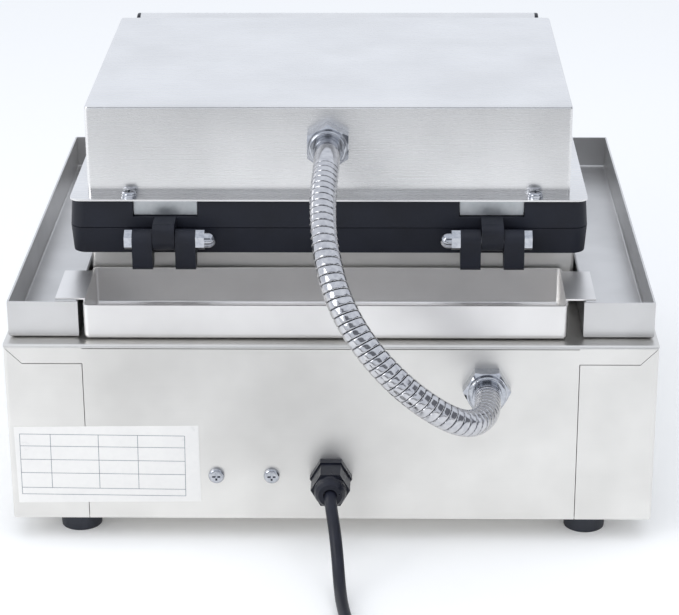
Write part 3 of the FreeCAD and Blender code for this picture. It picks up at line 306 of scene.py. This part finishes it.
# one stainless sheet: the tray's copy is darker, painted shade, and the trough's lighter, painted light
tray_steel_shaded = satin_sheet("satin_stainless_tray_shaded", "#DCDBDA", "#CECDCC", 0.36, 0.15)
trough_steel_lit = satin_sheet("satin_stainless_trough_lit", "#F4F2F0", "#EAE8E6", 0.36, 0.15)
dress(panel_steel, "right_side_panel", "left_side_panel", "top_panel", "rear_panel", "front_panel",
      "bottom_plate", "pedestal")
dress(cover_steel, "top_cover", "handle_brackets")
dress(tray_steel_shaded, "drip_tray")
dress(trough_steel_lit, "rear_trough")
print("sheet finishes made")

# %% [markdown]
# ## Other metals
# Nuts, ferrules and screws are bright plated or polished steel: small, smooth, with sharp light and dark
# reflections. The hidden shield is galvanised, with a dull spangle; the element tubes are dark from heat.
# They share one recipe, noise in the colour and in the roughness, at the size of each surface's own marks.
# A wound strip also has painted shade in the gaps between its turns; the mesh itself says where they are.

# %% Bright and dull metals
def worn_metal(name, light, dark, roughness, change, mark, bump, gap_shade=None):
    made, tree, surface = finish(name, Metallic=1.0)
    place = node(tree, "ShaderNodeTexCoord").outputs["Object"]
    marks = node(tree, "ShaderNodeTexNoise", {"Vector": place, "Scale": 1 / (mark * MM), "Detail": 4.0})
    shade = node(tree, "ShaderNodeValToRGB", {"Fac": marks.outputs["Fac"]})
    for stop, spot, code in zip(shade.color_ramp.elements, (0.35, 0.65), (dark, light)):
        stop.position = spot
        stop.color = linear(code)
    polish = node(tree, "ShaderNodeMapRange", {"Value": marks.outputs["Fac"], "From Min": 0.3,
                                               "From Max": 0.7, "To Min": roughness,
                                               "To Max": roughness + change})
    relief = node(tree, "ShaderNodeBump", {"Height": marks.outputs["Fac"], "Strength": 0.5,
                                           "Distance": bump * MM})
    colour = shade.outputs["Color"]
    # painted shade: the colour goes towards a dark grey in the gaps between the hose's turns
    if gap_shade:
        # a Mix node keeps its colours in inputs 6 and 7 and in output 2
        depth = node(tree, "ShaderNodeAttribute", attribute_name=gap_shade).outputs["Fac"]
        gap_shaded = node(tree, "ShaderNodeMix", {0: depth, 6: colour, 7: linear("#26272B")}, data_type="RGBA")
        colour = gap_shaded.outputs[2]
    tree.links.new(colour, surface.inputs["Base Color"])
    tree.links.new(polish.outputs[0], surface.inputs["Roughness"])
    tree.links.new(relief.outputs[0], surface.inputs["Normal"])
    return made


# plated and polished pieces mirror what is round them; the hose also has painted shade in its gaps
plated = worn_metal("bright_plated_steel", "#C2C4C9", "#ABAEB5", 0.07, 0.06, 2.5, 0.01)
hose_steel = worn_metal("polished_stainless_strip", "#CFCFD1", "#BDBDC1", 0.09, 0.06, 3.0, 0.01, gap_shade="gap_shade")
# turned steel is softer, zinc spangle softer still, and a heated sheath is brown
shaft_steel = worn_metal("turned_steel", "#C9C9CB", "#B4B4B8", 0.22, 0.1, 1.5, 0.01)
galvanised = worn_metal("galvanised_steel", "#DCDEDF", "#C2C6C8", 0.34, 0.2, 9.0, 0.01)
sheath = worn_metal("heat_darkened_element_sheath", "#7D746C", "#4E4743", 0.38, 0.2, 6.0, 0.02)
# yellow plug pins, and pale dial plates with an even, fine grain
brass = worn_metal("machined_brass", "#D9BE7C", "#C3A35E", 0.16, 0.1, 2.0, 0.01)
dial_metal = worn_metal("anodised_aluminium", "#D3D4D6", "#C4C5C9", 0.34, 0.08, 1.0, 0.005)
dress(plated, "hinge_bolts", "hinge_cap_nuts", "cover_screws", "cover_washers", "terminal_screws",
      "handle_screws", "foot_screws", "pedestal_screws", "plate_bolts", "upper_conduit_nut",
      "upper_conduit_ferrule", "upper_conduit_locknut", "lower_conduit_nut", "lower_conduit_ferrule",
      "lower_conduit_locknut")
dress(shaft_steel, "thermostat_shaft", "timer_shaft", "sensor_bulb")
dress(cover_steel, "handle_tube")
dress(galvanised, "heat_shield")
dress(sheath, "lower_element", "upper_element")
dress(brass, "plug_pins")
dress(dial_metal, "dial_plates")
print("metals made")

# %% [markdown]
# ## Black castings
# The baking plates are cast with a charcoal non-stick coat, matt with a fine pebble from the spray. Its
# colour leans to blue under a white sky. Two noises make it: a fine one for the pebble and a wide one for
# thick and thin coat. The same recipe, with other sizes, serves every surface that isn't metal.

# %% Coated castings
def non_metal(name, light, dark, roughness, pebble, bump, wide, **shader):
    made, tree, surface = finish(name, **shader)
    place = node(tree, "ShaderNodeTexCoord").outputs["Object"]
    fine = node(tree, "ShaderNodeTexNoise", {"Vector": place, "Scale": 1 / (pebble * MM), "Detail": 2.0})
    broad = node(tree, "ShaderNodeTexNoise", {"Vector": place, "Scale": 1 / (wide * MM), "Detail": 3.0})
    both = node(tree, "ShaderNodeMath", {0: fine.outputs["Fac"], 1: 0.5, 2: broad.outputs["Fac"]},
                operation="MULTIPLY_ADD")
    shade = node(tree, "ShaderNodeValToRGB", {"Fac": both.outputs[0]})
    for stop, spot, code in zip(shade.color_ramp.elements, (0.5, 0.95), (dark, light)):
        stop.position = spot
        stop.color = linear(code)
    dull = node(tree, "ShaderNodeMapRange", {"Value": both.outputs[0], "From Min": 0.5, "From Max": 1.0,
                                             "To Min": roughness - 0.06, "To Max": roughness + 0.08})
    relief = node(tree, "ShaderNodeBump", {"Height": fine.outputs["Fac"], "Strength": 0.6,
                                           "Distance": bump * MM})
    tree.links.new(shade.outputs["Color"], surface.inputs["Base Color"])
    tree.links.new(dull.outputs[0], surface.inputs["Roughness"])
    tree.links.new(relief.outputs[0], surface.inputs["Normal"])
    return made


casting = non_metal("nonstick_coated_casting", "#1D202B", "#14161F", 0.50, 0.9, 0.06, 25.0,
                    Specular_IOR_Level=0.35)
dress(casting, "upper_plate", "lower_plate")
print("coated castings made")

# %% [markdown]
# ## Rubber, nylon and moulded plastic
# The feet and the lead's sheath are rubber: dark, soft-looking, with broad dull highlights. The gland and
# the plug are moulded nylon and the knobs moulded ABS, both smoother, so that their edges catch the light.
# The switches inside are cream phenolic.

# %% Rubber, nylon and plastic
rubber = non_metal("moulded_rubber", "#32353E", "#282B33", 0.55, 1.2, 0.05, 12.0)
lead_rubber = non_metal("rubber_lead_sheath", "#20222E", "#171922", 0.42, 1.0, 0.03, 15.0,
                        Specular_IOR_Level=0.35)
nylon = non_metal("moulded_black_nylon", "#1B1D28", "#12141D", 0.30, 1.5, 0.02, 8.0, Specular_IOR_Level=0.35)
knob_abs = non_metal("moulded_black_abs", "#26272B", "#1D1E22", 0.34, 0.8, 0.03, 10.0)
switch_body = non_metal("moulded_phenolic", "#D9D4C4", "#C9C3B2", 0.45, 1.0, 0.03, 12.0)
dress(rubber, "rubber_feet")
dress(nylon, "gland_body", "gland_nut", "gland_locknut", "handle_end_plugs", "lamp_housings", "cord_tie",
      "plug_body")
dress(knob_abs, "thermostat_knob", "timer_knob")
dress(switch_body, "thermostat", "timer", "terminal_block")
mains_lead.data.materials.clear()
mains_lead.data.materials.append(lead_rubber)
print("rubber and plastics made")

# %% [markdown]
# ## Film and lenses
# The rating label's place keeps a plain white film, a little glossy. The pilot lamps have coloured acrylic
# caps, half clear, so that they look deep rather than painted.

# %% Label film and lamp lenses
film = non_metal("white_label_film", "#F6F4F0", "#EFEDEA", 0.32, 3.0, 0.005, 30.0)
dress(film, "rating_plate")
clear = {"Transmission_Weight": 0.5, "IOR": 1.49}
green = non_metal("green_acrylic", "#2FA653", "#1F8F45", 0.12, 2.0, 0.005, 6.0, **clear)
amber = non_metal("amber_acrylic", "#F0A020", "#E08A12", 0.12, 2.0, 0.005, 6.0, **clear)
dress(green, "power_lens")
dress(amber, "heating_lens")
print("film and lenses made")

# %% [markdown]
# ## The strip-wound hose
# The hose that carries the wires to the head is one steel strip wound in a spiral, each turn hooked over the
# last. Rings set along a line would give the look but not the spiral, so a tube is swept along the route and
# its radius follows a drawn profile: how far along, plus how far round, gives the place in the strip's
# width. Near the upper fitting a smooth cuff covers the first turns.

# %% Winding of the hose
def geometry_tree(name, **inputs):
    tree = bpy.data.node_groups.new(name, "GeometryNodeTree")
    tree.interface.new_socket("Geometry", in_out="INPUT", socket_type="NodeSocketGeometry")
    for label, kind in inputs.items():
        tree.interface.new_socket(label, in_out="INPUT", socket_type="NodeSocket" + kind)
    tree.interface.new_socket("Geometry", in_out="OUTPUT", socket_type="NodeSocketGeometry")
    return tree


STRIP_PROFILE = ((0.05, 0.0), (0.10, 0.82), (0.22, 0.95), (0.55, 1.0), (0.88, 0.96), (0.955, 0.82))
winding = geometry_tree("strip_winding", Pitch="Float", Radius="Float", Groove="Float", Cuff="Float",
                        Sides="Int", Rings="Int", Finish="Material")
given = node(winding, "NodeGroupInput").outputs
step = node(winding, "ShaderNodeMath", {0: given["Pitch"], 1: given["Rings"]}, operation="DIVIDE")
line = node(winding, "GeometryNodeResampleCurve", {"Curve": given["Geometry"], "Length": step.outputs[0]},
            mode="LENGTH")
kept = node(winding, "GeometryNodeCaptureAttribute", {"Geometry": line.outputs[0]})
kept.capture_items.new("FLOAT", "Along")
kept.capture_items.new("VECTOR", "Middle")
winding.links.new(node(winding, "GeometryNodeSplineParameter").outputs["Length"], kept.inputs["Along"])
winding.links.new(node(winding, "GeometryNodeInputPosition").outputs[0], kept.inputs["Middle"])
ring = node(winding, "GeometryNodeCurvePrimitiveCircle", {"Resolution": given["Sides"],
                                                          "Radius": given["Radius"]})
kept_ring = node(winding, "GeometryNodeCaptureAttribute", {"Geometry": ring.outputs[0]})
kept_ring.capture_items.new("FLOAT", "Round")
winding.links.new(node(winding, "GeometryNodeSplineParameter").outputs["Factor"], kept_ring.inputs["Round"])
tube = node(winding, "GeometryNodeCurveToMesh", {"Curve": kept.outputs[0], "Fill Caps": True,
                                                 "Profile Curve": kept_ring.outputs[0]})
turns = node(winding, "ShaderNodeMath", {0: kept.outputs["Along"], 1: given["Pitch"]}, operation="DIVIDE")
place = node(winding, "ShaderNodeMath", {0: turns.outputs[0], 1: kept_ring.outputs["Round"]}, operation="ADD")
place = node(winding, "ShaderNodeMath", {0: place.outputs[0]}, operation="FRACT")
profile = node(winding, "ShaderNodeFloatCurve", {"Value": place.outputs[0]})
drawn = profile.mapping.curves[0]
drawn.points[0].location = (0.0, 0.0)
drawn.points[1].location = (1.0, 0.0)
for spot in STRIP_PROFILE:
    drawn.points.new(*spot)
profile.mapping.update()
sunk = node(winding, "ShaderNodeMath", {0: profile.outputs[0], 1: 1.0}, operation="SUBTRACT")
past = node(winding, "ShaderNodeMath", {0: kept.outputs["Along"], 1: given["Cuff"]}, operation="SUBTRACT")
past = node(winding, "ShaderNodeMath", {0: past.outputs[0], 1: given["Pitch"]}, operation="DIVIDE",
            use_clamp=True)
depth = node(winding, "ShaderNodeMath", {0: past.outputs[0], 1: given["Groove"]}, operation="MULTIPLY")
# painted shade: how dark each gap between turns is painted, none on the cuff; kept for the material
dark = node(winding, "ShaderNodeMapRange", {"Value": sunk.outputs[0], "From Min": -0.15, "From Max": -0.5})
dark = node(winding, "ShaderNodeMath", {0: dark.outputs[0], 1: past.outputs[0]}, operation="MULTIPLY")
sunk = node(winding, "ShaderNodeMath", {0: sunk.outputs[0], 1: depth.outputs[0]}, operation="MULTIPLY")
out = node(winding, "ShaderNodeVectorMath", {0: node(winding, "GeometryNodeInputPosition").outputs[0],
                                             1: kept.outputs["Middle"]}, operation="SUBTRACT")
out = node(winding, "ShaderNodeVectorMath", {0: out.outputs[0]}, operation="NORMALIZE")
out = node(winding, "ShaderNodeVectorMath", {0: out.outputs[0], "Scale": sunk.outputs[0]}, operation="SCALE")
wound = node(winding, "GeometryNodeSetPosition", {"Geometry": tube.outputs[0], "Offset": out.outputs[0]})
wound = node(winding, "GeometryNodeStoreNamedAttribute", {"Geometry": wound.outputs[0], "Name": "gap_shade",
                                                          "Value": dark.outputs[0]},
             data_type="FLOAT", domain="POINT")
wound = node(winding, "GeometryNodeSetShadeSmooth", {"Geometry": wound.outputs[0]})
wound = node(winding, "GeometryNodeRealizeInstances", {"Geometry": wound.outputs[0]})
wound = node(winding, "GeometryNodeSetMaterial", {"Geometry": wound.outputs[0], "Material": given["Finish"]})
node(winding, "NodeGroupOutput", {"Geometry": wound.outputs[0]})
print("winding nodes", len(winding.nodes))

# %% [markdown]
# The hose runs from the head, behind the hinge, down to the base. When the head opens, the hose has to bend,
# but here it is one mesh, fixed to neither body.

# %% Strip-wound hose
HOSE = 14.4              # diameter
STRIP_PITCH = 4.4        # from turn to turn
CUFF = 19.0              # length of the smooth end in the upper fitting
GROOVE = 0.9             # depth of the gap between turns


def set_inputs(modifier, values):
    for item in modifier.node_group.interface.items_tree:
        if item.item_type == "SOCKET" and item.in_out == "INPUT" and item.name in values:
            modifier[item.identifier] = values[item.name]


hose_points = [(2, -45, 215), (2, -27, 215), (3.7, 5, 204.6), (1.5, 33, 186.2), (-6.6, 52, 163.4),
               (-23.7, 65, 140.2), (-47.2, 69.5, 118), (-72.3, 61.5, 99.5), (-86, 36, 95), (-86, 14, 95)]
hose_points = [(x, REAR + y, z) for x, y, z in hose_points]
hose_route = smooth_line("hose_route", hose_points, resolution=24)
hose_path = line_points(hose_route)
wind = hose_route.modifiers.new("winding", "NODES")
wind.node_group = winding
set_inputs(wind, {"Pitch": STRIP_PITCH * MM, "Radius": HOSE / 2 * MM, "Groove": GROOVE * MM,
                  "Cuff": CUFF * MM, "Sides": 40, "Rings": 20, "Finish": hose_steel})
hose = as_mesh(hose_route, "strip_wound_hose")
bpy.data.objects.remove(hose_route)
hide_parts("flexible_conduit")
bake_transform(hose)
print("hose faces", len(hose.data.polygons), "path points", len(hose_path))

# %% [markdown]
# ## Ruled lines on the label
# The label keeps an empty ruled table. The lines could be drawn in the material, but eleven thin strips lying
# on the film are simpler to read, and they stay sharp from near by.

# %% Ruled lines
INK = 0.04               # thickness of printed ink
RULE = 0.32              # width of a ruled line
LABEL_WIDTH, LABEL_HEIGHT = 103.0, 47.0
LABEL_TILT = math.radians(0.6)
COLUMNS = (2.6, 19.7, 46.5, 68.5, 94.8)          # from the label's left edge
ROWS = (5.4, 12.7, 21.0, 29.3, 38.5, 42.6)       # from its top edge


def strips(name, frames, thick):
    made = bmesh.new()
    for middle, across, upward, width, height in frames:
        out_of = across.cross(upward)
        box = bmesh.ops.create_cube(made, size=1.0)["verts"]
        turn = Matrix((across * width, upward * height, out_of * thick)).transposed().to_4x4()
        bmesh.ops.transform(made, matrix=Matrix.Translation(middle) @ turn, verts=box)
    bmesh.ops.recalc_face_normals(made, faces=made.faces)
    mesh = bpy.data.meshes.new(name)
    made.to_mesh(mesh)
    made.free()
    return place_in_scene(name, mesh)


label_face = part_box("rating_plate")[1].y
label_middle = middle_mm("rating_plate")
label_middle = Vector((label_middle[0] * MM, label_face, label_middle[2] * MM))
label_x = Vector((-math.cos(LABEL_TILT), 0, -math.sin(LABEL_TILT)))    # to the reader's right
label_z = Vector((-math.sin(LABEL_TILT), 0, math.cos(LABEL_TILT)))


def on_label(across, down):
    return (label_middle + label_x * (across - LABEL_WIDTH / 2) * MM
            + label_z * (LABEL_HEIGHT / 2 - down) * MM)


left, right_end = COLUMNS[0], COLUMNS[-1]
ruling = []
for column in COLUMNS:
    # the last row runs from side to side, so only the outer lines go down to its foot
    bottom = ROWS[-1] if column in (left, right_end) else ROWS[-2]
    ruling.append((on_label(column, (ROWS[0] + bottom) / 2), label_x, label_z, RULE * MM,
                   (bottom - ROWS[0]) * MM))
for row in ROWS:
    ruling.append((on_label((left + right_end) / 2, row), label_x, label_z, (right_end - left) * MM,
                   RULE * MM))
ink = non_metal("printed_grey_ink", "#8C9099", "#7D818A", 0.5, 1.0, 0.003, 6.0)
label_ruling = strips("label_ruling", ruling, INK * MM)
label_ruling.data.materials.append(ink)
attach(label_ruling, "base")
print("label lines", len(ruling))

# %% [markdown]
# ## Dial scales
# Each control has a scale of short and long marks with plain numbers. Marks that repeat round a circle suit
# Geometry Nodes: a fan of points, one small bar on each, every fifth one longer.

# %% Fan of dial marks
scale_tree = geometry_tree("dial_marks", Count="Int", Sweep="Float", Radius="Float", Length="Float",
                           Width="Float", Finish="Material")
given = node(scale_tree, "NodeGroupInput").outputs
marks = node(scale_tree, "GeometryNodePoints", {"Count": given["Count"]})
number = node(scale_tree, "GeometryNodeInputIndex")
last = node(scale_tree, "ShaderNodeMath", {0: given["Count"], 1: 1.0}, operation="SUBTRACT")
share = node(scale_tree, "ShaderNodeMath", {0: number.outputs[0], 1: last.outputs[0]}, operation="DIVIDE")
angle = node(scale_tree, "ShaderNodeMath", {0: share.outputs[0], 1: given["Sweep"]}, operation="MULTIPLY")
fifth = node(scale_tree, "ShaderNodeMath", {0: number.outputs[0], 1: 5.0}, operation="MODULO")
fifth = node(scale_tree, "ShaderNodeMath", {0: fifth.outputs[0], 1: 0.5}, operation="LESS_THAN")
longer = node(scale_tree, "ShaderNodeMath", {0: fifth.outputs[0], 1: 0.7, 2: 1.0}, operation="MULTIPLY_ADD")
sine = node(scale_tree, "ShaderNodeMath", {0: angle.outputs[0]}, operation="SINE")
cosine = node(scale_tree, "ShaderNodeMath", {0: angle.outputs[0]}, operation="COSINE")
spoke = node(scale_tree, "ShaderNodeCombineXYZ", {"X": sine.outputs[0], "Z": cosine.outputs[0]})
spoke = node(scale_tree, "ShaderNodeVectorMath", {0: spoke.outputs[0], "Scale": given["Radius"]},
             operation="SCALE")
marks = node(scale_tree, "GeometryNodeSetPosition", {"Geometry": marks.outputs[0],
                                                     "Position": spoke.outputs[0]})
size = node(scale_tree, "ShaderNodeCombineXYZ", {"X": given["Width"], "Y": INK * MM, "Z": given["Length"]})
bar = node(scale_tree, "GeometryNodeMeshCube", {"Size": size.outputs[0]})
spin = node(scale_tree, "ShaderNodeCombineXYZ", {"Y": angle.outputs[0]})
grow = node(scale_tree, "ShaderNodeCombineXYZ", {"X": 1.0, "Y": 1.0, "Z": longer.outputs[0]})
bars = node(scale_tree, "GeometryNodeInstanceOnPoints",
            {"Points": marks.outputs[0], "Instance": bar.outputs[0], "Rotation": spin.outputs[0],
             "Scale": grow.outputs[0]})
bars = node(scale_tree, "GeometryNodeRealizeInstances", {"Geometry": bars.outputs[0]})
bars = node(scale_tree, "GeometryNodeSetMaterial", {"Geometry": bars.outputs[0], "Material": given["Finish"]})
node(scale_tree, "NodeGroupOutput", {"Geometry": bars.outputs[0]})
print("dial mark nodes", len(scale_tree.nodes))

# %% [markdown]
# The numbers are text made into a thin mesh, one letter shape after another turned upright and set round the
# dial. All the figures of one dial are joined, because they are printed in one go.

# %% Dial scales
SWEEP = math.radians(300)
MARKS_RADIUS, MARK_LENGTH, MARK_WIDTH = 22.0, 2.0, 0.5
FIGURES_RADIUS, FIGURE_HEIGHT, FIGURE_BOLD = 26.6, 5.0, 0.12
FIGURES = {"thermostat": (0, 50, 100, 150, 200, 250, 300), "timer": (0, 1, 2, 3, 4, 5)}

black_ink = non_metal("printed_black_ink", "#2B2C30", "#222327", 0.5, 1.0, 0.003, 6.0)
dial_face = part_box("dial_plates")[0].y


def dial_marks(name, spaces, middle):
    holder = place_in_scene(name + "_marks_source", bpy.data.meshes.new(name + "_marks_source"))
    fan = holder.modifiers.new("marks", "NODES")
    fan.node_group = scale_tree
    set_inputs(fan, {"Count": 5 * spaces + 1, "Sweep": SWEEP, "Radius": MARKS_RADIUS * MM,
                     "Length": MARK_LENGTH * MM, "Width": MARK_WIDTH * MM, "Finish": black_ink})
    scale = as_mesh(holder, name + "_scale")
    bpy.data.objects.remove(holder)
    scale.data.transform(Matrix.Translation(middle))
    return scale


def dial_figures(name, numbers, middle):
    joined = bmesh.new()
    for i, shown in enumerate(numbers):
        text = bpy.data.curves.new("figure", "FONT")
        text.body = str(shown)
        text.size = FIGURE_HEIGHT * MM
        text.align_x = "CENTER"
        text.align_y = "CENTER"
        text.extrude = INK / 2 * MM
        text.offset = FIGURE_BOLD * MM
        letter = bpy.data.objects.new("figure", text)
        mesh = bpy.data.meshes.new_from_object(letter)
        turned = SWEEP * i / (len(numbers) - 1)
        spot = middle + Vector((math.sin(turned), 0, math.cos(turned))) * FIGURES_RADIUS * MM
        mesh.transform(Matrix.Translation(spot) @ Matrix.Rotation(math.pi / 2, 4, "X"))
        joined.from_mesh(mesh)
        bpy.data.objects.remove(letter)
        bpy.data.meshes.remove(mesh)
    printed = bpy.data.meshes.new(name + "_figures")
    joined.to_mesh(printed)
    joined.free()
    printed.materials.append(black_ink)
    return place_in_scene(name + "_figures", printed)


for name, numbers in FIGURES.items():
    control_x, _, control_z = middle_mm(name)
    middle = Vector((control_x * MM, dial_face, control_z * MM))
    scale = dial_marks(name, len(numbers) - 1, middle)
    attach(scale, "base")
    figure_piece = dial_figures(name, numbers, middle)
    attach(figure_piece, "base")
    print(name, "scale", len(scale.data.polygons), "figures", len(figure_piece.data.polygons))

# %% [markdown]
# ## Pointer lines
# A black knob's pointer is hard to see, so its ridge carries a white line. Paint could be a second material
# on the knob's own faces; a thin strip lying on the ridge keeps the knob as it is, and turns with it.

# %% Pointer lines
POINTER_WIDTH, POINTER_LENGTH = 1.2, 9.0
POINTER_RISE = 8.5       # from the knob's axis to the line's middle
PAINT = 0.06             # thickness

white_ink = non_metal("printed_white_ink", "#F2F2F0", "#E6E6E3", 0.5, 1.0, 0.003, 6.0)
for name in FIGURES:
    control_x, _, control_z = middle_mm(name)
    knob_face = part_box(name + "_knob")[0].y
    middle = Vector((control_x * MM, knob_face, (control_z + POINTER_RISE) * MM))
    pointer = (middle, Vector((1, 0, 0)), Vector((0, 0, 1)), POINTER_WIDTH * MM, POINTER_LENGTH * MM)
    pointer_line = strips(name + "_pointer_line", [pointer], PAINT * MM)
    pointer_line.data.materials.append(white_ink)
    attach(pointer_line, name + "_control")
    print(name, "pointer line at", control_x, control_z + POINTER_RISE)

# %% [markdown]
# ## The blanket inside the head
# Between the hot plate and the cover lies a fibre blanket. It can't be seen with the cover on, so a soft
# block with rounded, slightly uneven faces is enough: a grid of quads, pulled in at the edges and made lumpy
# by a fixed rule.

# %% Insulation blanket
BLANKET_CUTS = 14
FULLNESS = 0.93          # of the room's half height, at the blanket's middle
EDGE_DROP = 0.25         # how much thinner the edge is
LUMP = 0.04
DRAW_IN = 0.04           # how far the upper and lower faces are drawn in
ROOM = 0.98              # of the room's half width and depth

low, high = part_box("insulation_blanket")
middle = (low + high) / 2
half = (high - low) / 2
pad = bmesh.new()
bmesh.ops.create_cube(pad, size=2.0)
bmesh.ops.subdivide_edges(pad, edges=pad.edges[:], cuts=BLANKET_CUTS, use_grid_fill=True)
for v in pad.verts:
    x, y, z = v.co
    edge = max(abs(x), abs(y)) ** 6
    lump = LUMP * math.sin(7 * x + 3 * y) * math.cos(5 * y - 2 * x)
    drawn_in = ROOM * (1 - DRAW_IN * z * z)
    thick = FULLNESS - EDGE_DROP * edge + lump
    v.co = middle + Vector((x * drawn_in * half.x, y * drawn_in * half.y, z * thick * half.z))
bmesh.ops.recalc_face_normals(pad, faces=pad.faces)
pad_mesh = bpy.data.meshes.new("fibre_blanket")
pad.to_mesh(pad_mesh)
pad.free()
shade_smooth(pad_mesh)
# spun ceramic fibre: white, quite dull, with a woolly surface
wool = non_metal("ceramic_fibre_wool", "#EEECE4", "#DCD8CC", 0.9, 1.5, 0.4, 18.0)
pad_mesh.materials.append(wool)
blanket = place_in_scene("fibre_blanket", pad_mesh)
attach(blanket, "head")
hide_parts("insulation_blanket")
print("blanket faces", len(pad_mesh.polygons))

# %% [markdown]
# ## Floor and cards
# The machine stands in a bright white studio. The floor is pale and keeps a soft shadow; a little of its own
# light, only for what looks at it, takes it to white. Polished metal needs something dark to reflect, so
# grey cards stand behind the camera and at the right, and a paler one lies on the floor, as a photographer
# would place them. Only reflections see the cards.

# %% Floor and cards
FLOOR = 8.0              # metres from the middle to each side
FLOOR_LIFT = 0.12


def card(name, corners, material):
    mesh = bpy.data.meshes.new(name)
    mesh.from_pydata([Vector(c) for c in corners], [], [(0, 1, 2, 3)])
    mesh.materials.append(material)
    piece = place_in_scene(name, mesh)
    return piece


def looked_at(tree):
    path = node(tree, "ShaderNodeLightPath").outputs
    seen = node(tree, "ShaderNodeMath", {0: path["Is Camera Ray"], 1: path["Is Glossy Ray"]},
                operation="MAXIMUM")
    seen = node(tree, "ShaderNodeMath", {0: seen.outputs[0], 1: path["Is Transmission Ray"]},
                operation="MAXIMUM")
    return seen.outputs[0]


def shining_card(name, colour):
    made, tree = blank_material(name)
    shine = node(tree, "ShaderNodeEmission", {"Color": linear(colour), "Strength": 1.0})
    node(tree, "ShaderNodeOutputMaterial", {"Surface": shine.outputs[0]})
    return made


# matt white paint, as on a studio's cove
floor_white, tree = blank_material("pale_floor")
lift = node(tree, "ShaderNodeMath", {0: looked_at(tree), 1: FLOOR_LIFT}, operation="MULTIPLY")
paint = node(tree, "ShaderNodeBsdfDiffuse", {"Color": linear("#F6F6F5")})
glow = node(tree, "ShaderNodeEmission", {"Color": linear("#FFFFFF"), "Strength": lift.outputs[0]})
both = node(tree, "ShaderNodeAddShader", {0: paint.outputs[0], 1: glow.outputs[0]})
node(tree, "ShaderNodeOutputMaterial", {"Surface": both.outputs[0]})
card("floor", [(-FLOOR, -FLOOR, 0), (FLOOR, -FLOOR, 0), (FLOOR, FLOOR, 0), (-FLOOR, FLOOR, 0)], floor_white)

grey = shining_card("grey_card", "#7C7F86")
pale = shining_card("pale_card", "#A6A8AC")
behind = [(1.2, 2.4, 0.9), (-1.6, 2.4, 0.9), (-1.6, 2.4, 2.2), (1.2, 2.4, 2.2)]
at_right = [(-1.5, -0.2, 0.1), (-1.5, 1.2, 0.1), (-1.5, 1.2, 1.2), (-1.5, -0.2, 1.2)]
on_floor = [(1.6, 0.72, 0.004), (-1.6, 0.72, 0.004), (-1.6, 2.2, 0.004), (1.6, 2.2, 0.004)]
cards = [card("card_behind_camera", behind, grey), card("card_at_right", at_right, grey),
         card("card_on_floor", on_floor, pale)]
for piece in cards:
    piece.visible_camera = False
    piece.visible_diffuse = False
    piece.visible_shadow = False
    piece.visible_transmission = False
print("cards", len(cards))

# %% [markdown]
# ## Sky and lamps
# A white sky all round does most of the lighting, a little brighter to look at than it lights. A wide softbox
# overhead gives the shadow under the base; it is hidden from reflections, because the cover's top, seen from
# above, would burn out to white. A smaller softbox at the camera's left lights the rear panels from the side.

# %% Sky and lamps
SKY_LIGHTING, SKY_SEEN = 0.80, 1.0

world = bpy.data.worlds.new("white_studio")
world.use_nodes = True
tree = world.node_tree
tree.nodes.clear()
strength = node(tree, "ShaderNodeMapRange", {"Value": looked_at(tree), "To Min": SKY_LIGHTING,
                                             "To Max": SKY_SEEN})
sky = node(tree, "ShaderNodeBackground", {"Color": linear("#F1F6FF"), "Strength": strength.outputs[0]})
node(tree, "ShaderNodeOutputWorld", {"Surface": sky.outputs[0]})
bpy.context.scene.world = world


def softbox(name, place, target, width, height, watts, tint):
    data = bpy.data.lights.new(name, "AREA")
    data.shape = "RECTANGLE"
    data.size = width
    data.size_y = height
    data.energy = watts
    data.color = tint
    made = place_in_scene(name, data)
    made.location = place
    made.rotation_euler = (Vector(target) - Vector(place)).to_track_quat("-Z", "Y").to_euler()
    return made


overhead = softbox("overhead_softbox", (0.0, 0.5, 1.6), (0, 0.15, 0), 2.0, 1.6, 9.8, (0.97, 0.98, 1.0))
overhead.visible_glossy = False
softbox("left_softbox", (1.3, 1.1, 0.9), (0, 0.1, 0.12), 0.7, 0.9, 7.4, (1.0, 1.0, 1.0))
print("studio ready")
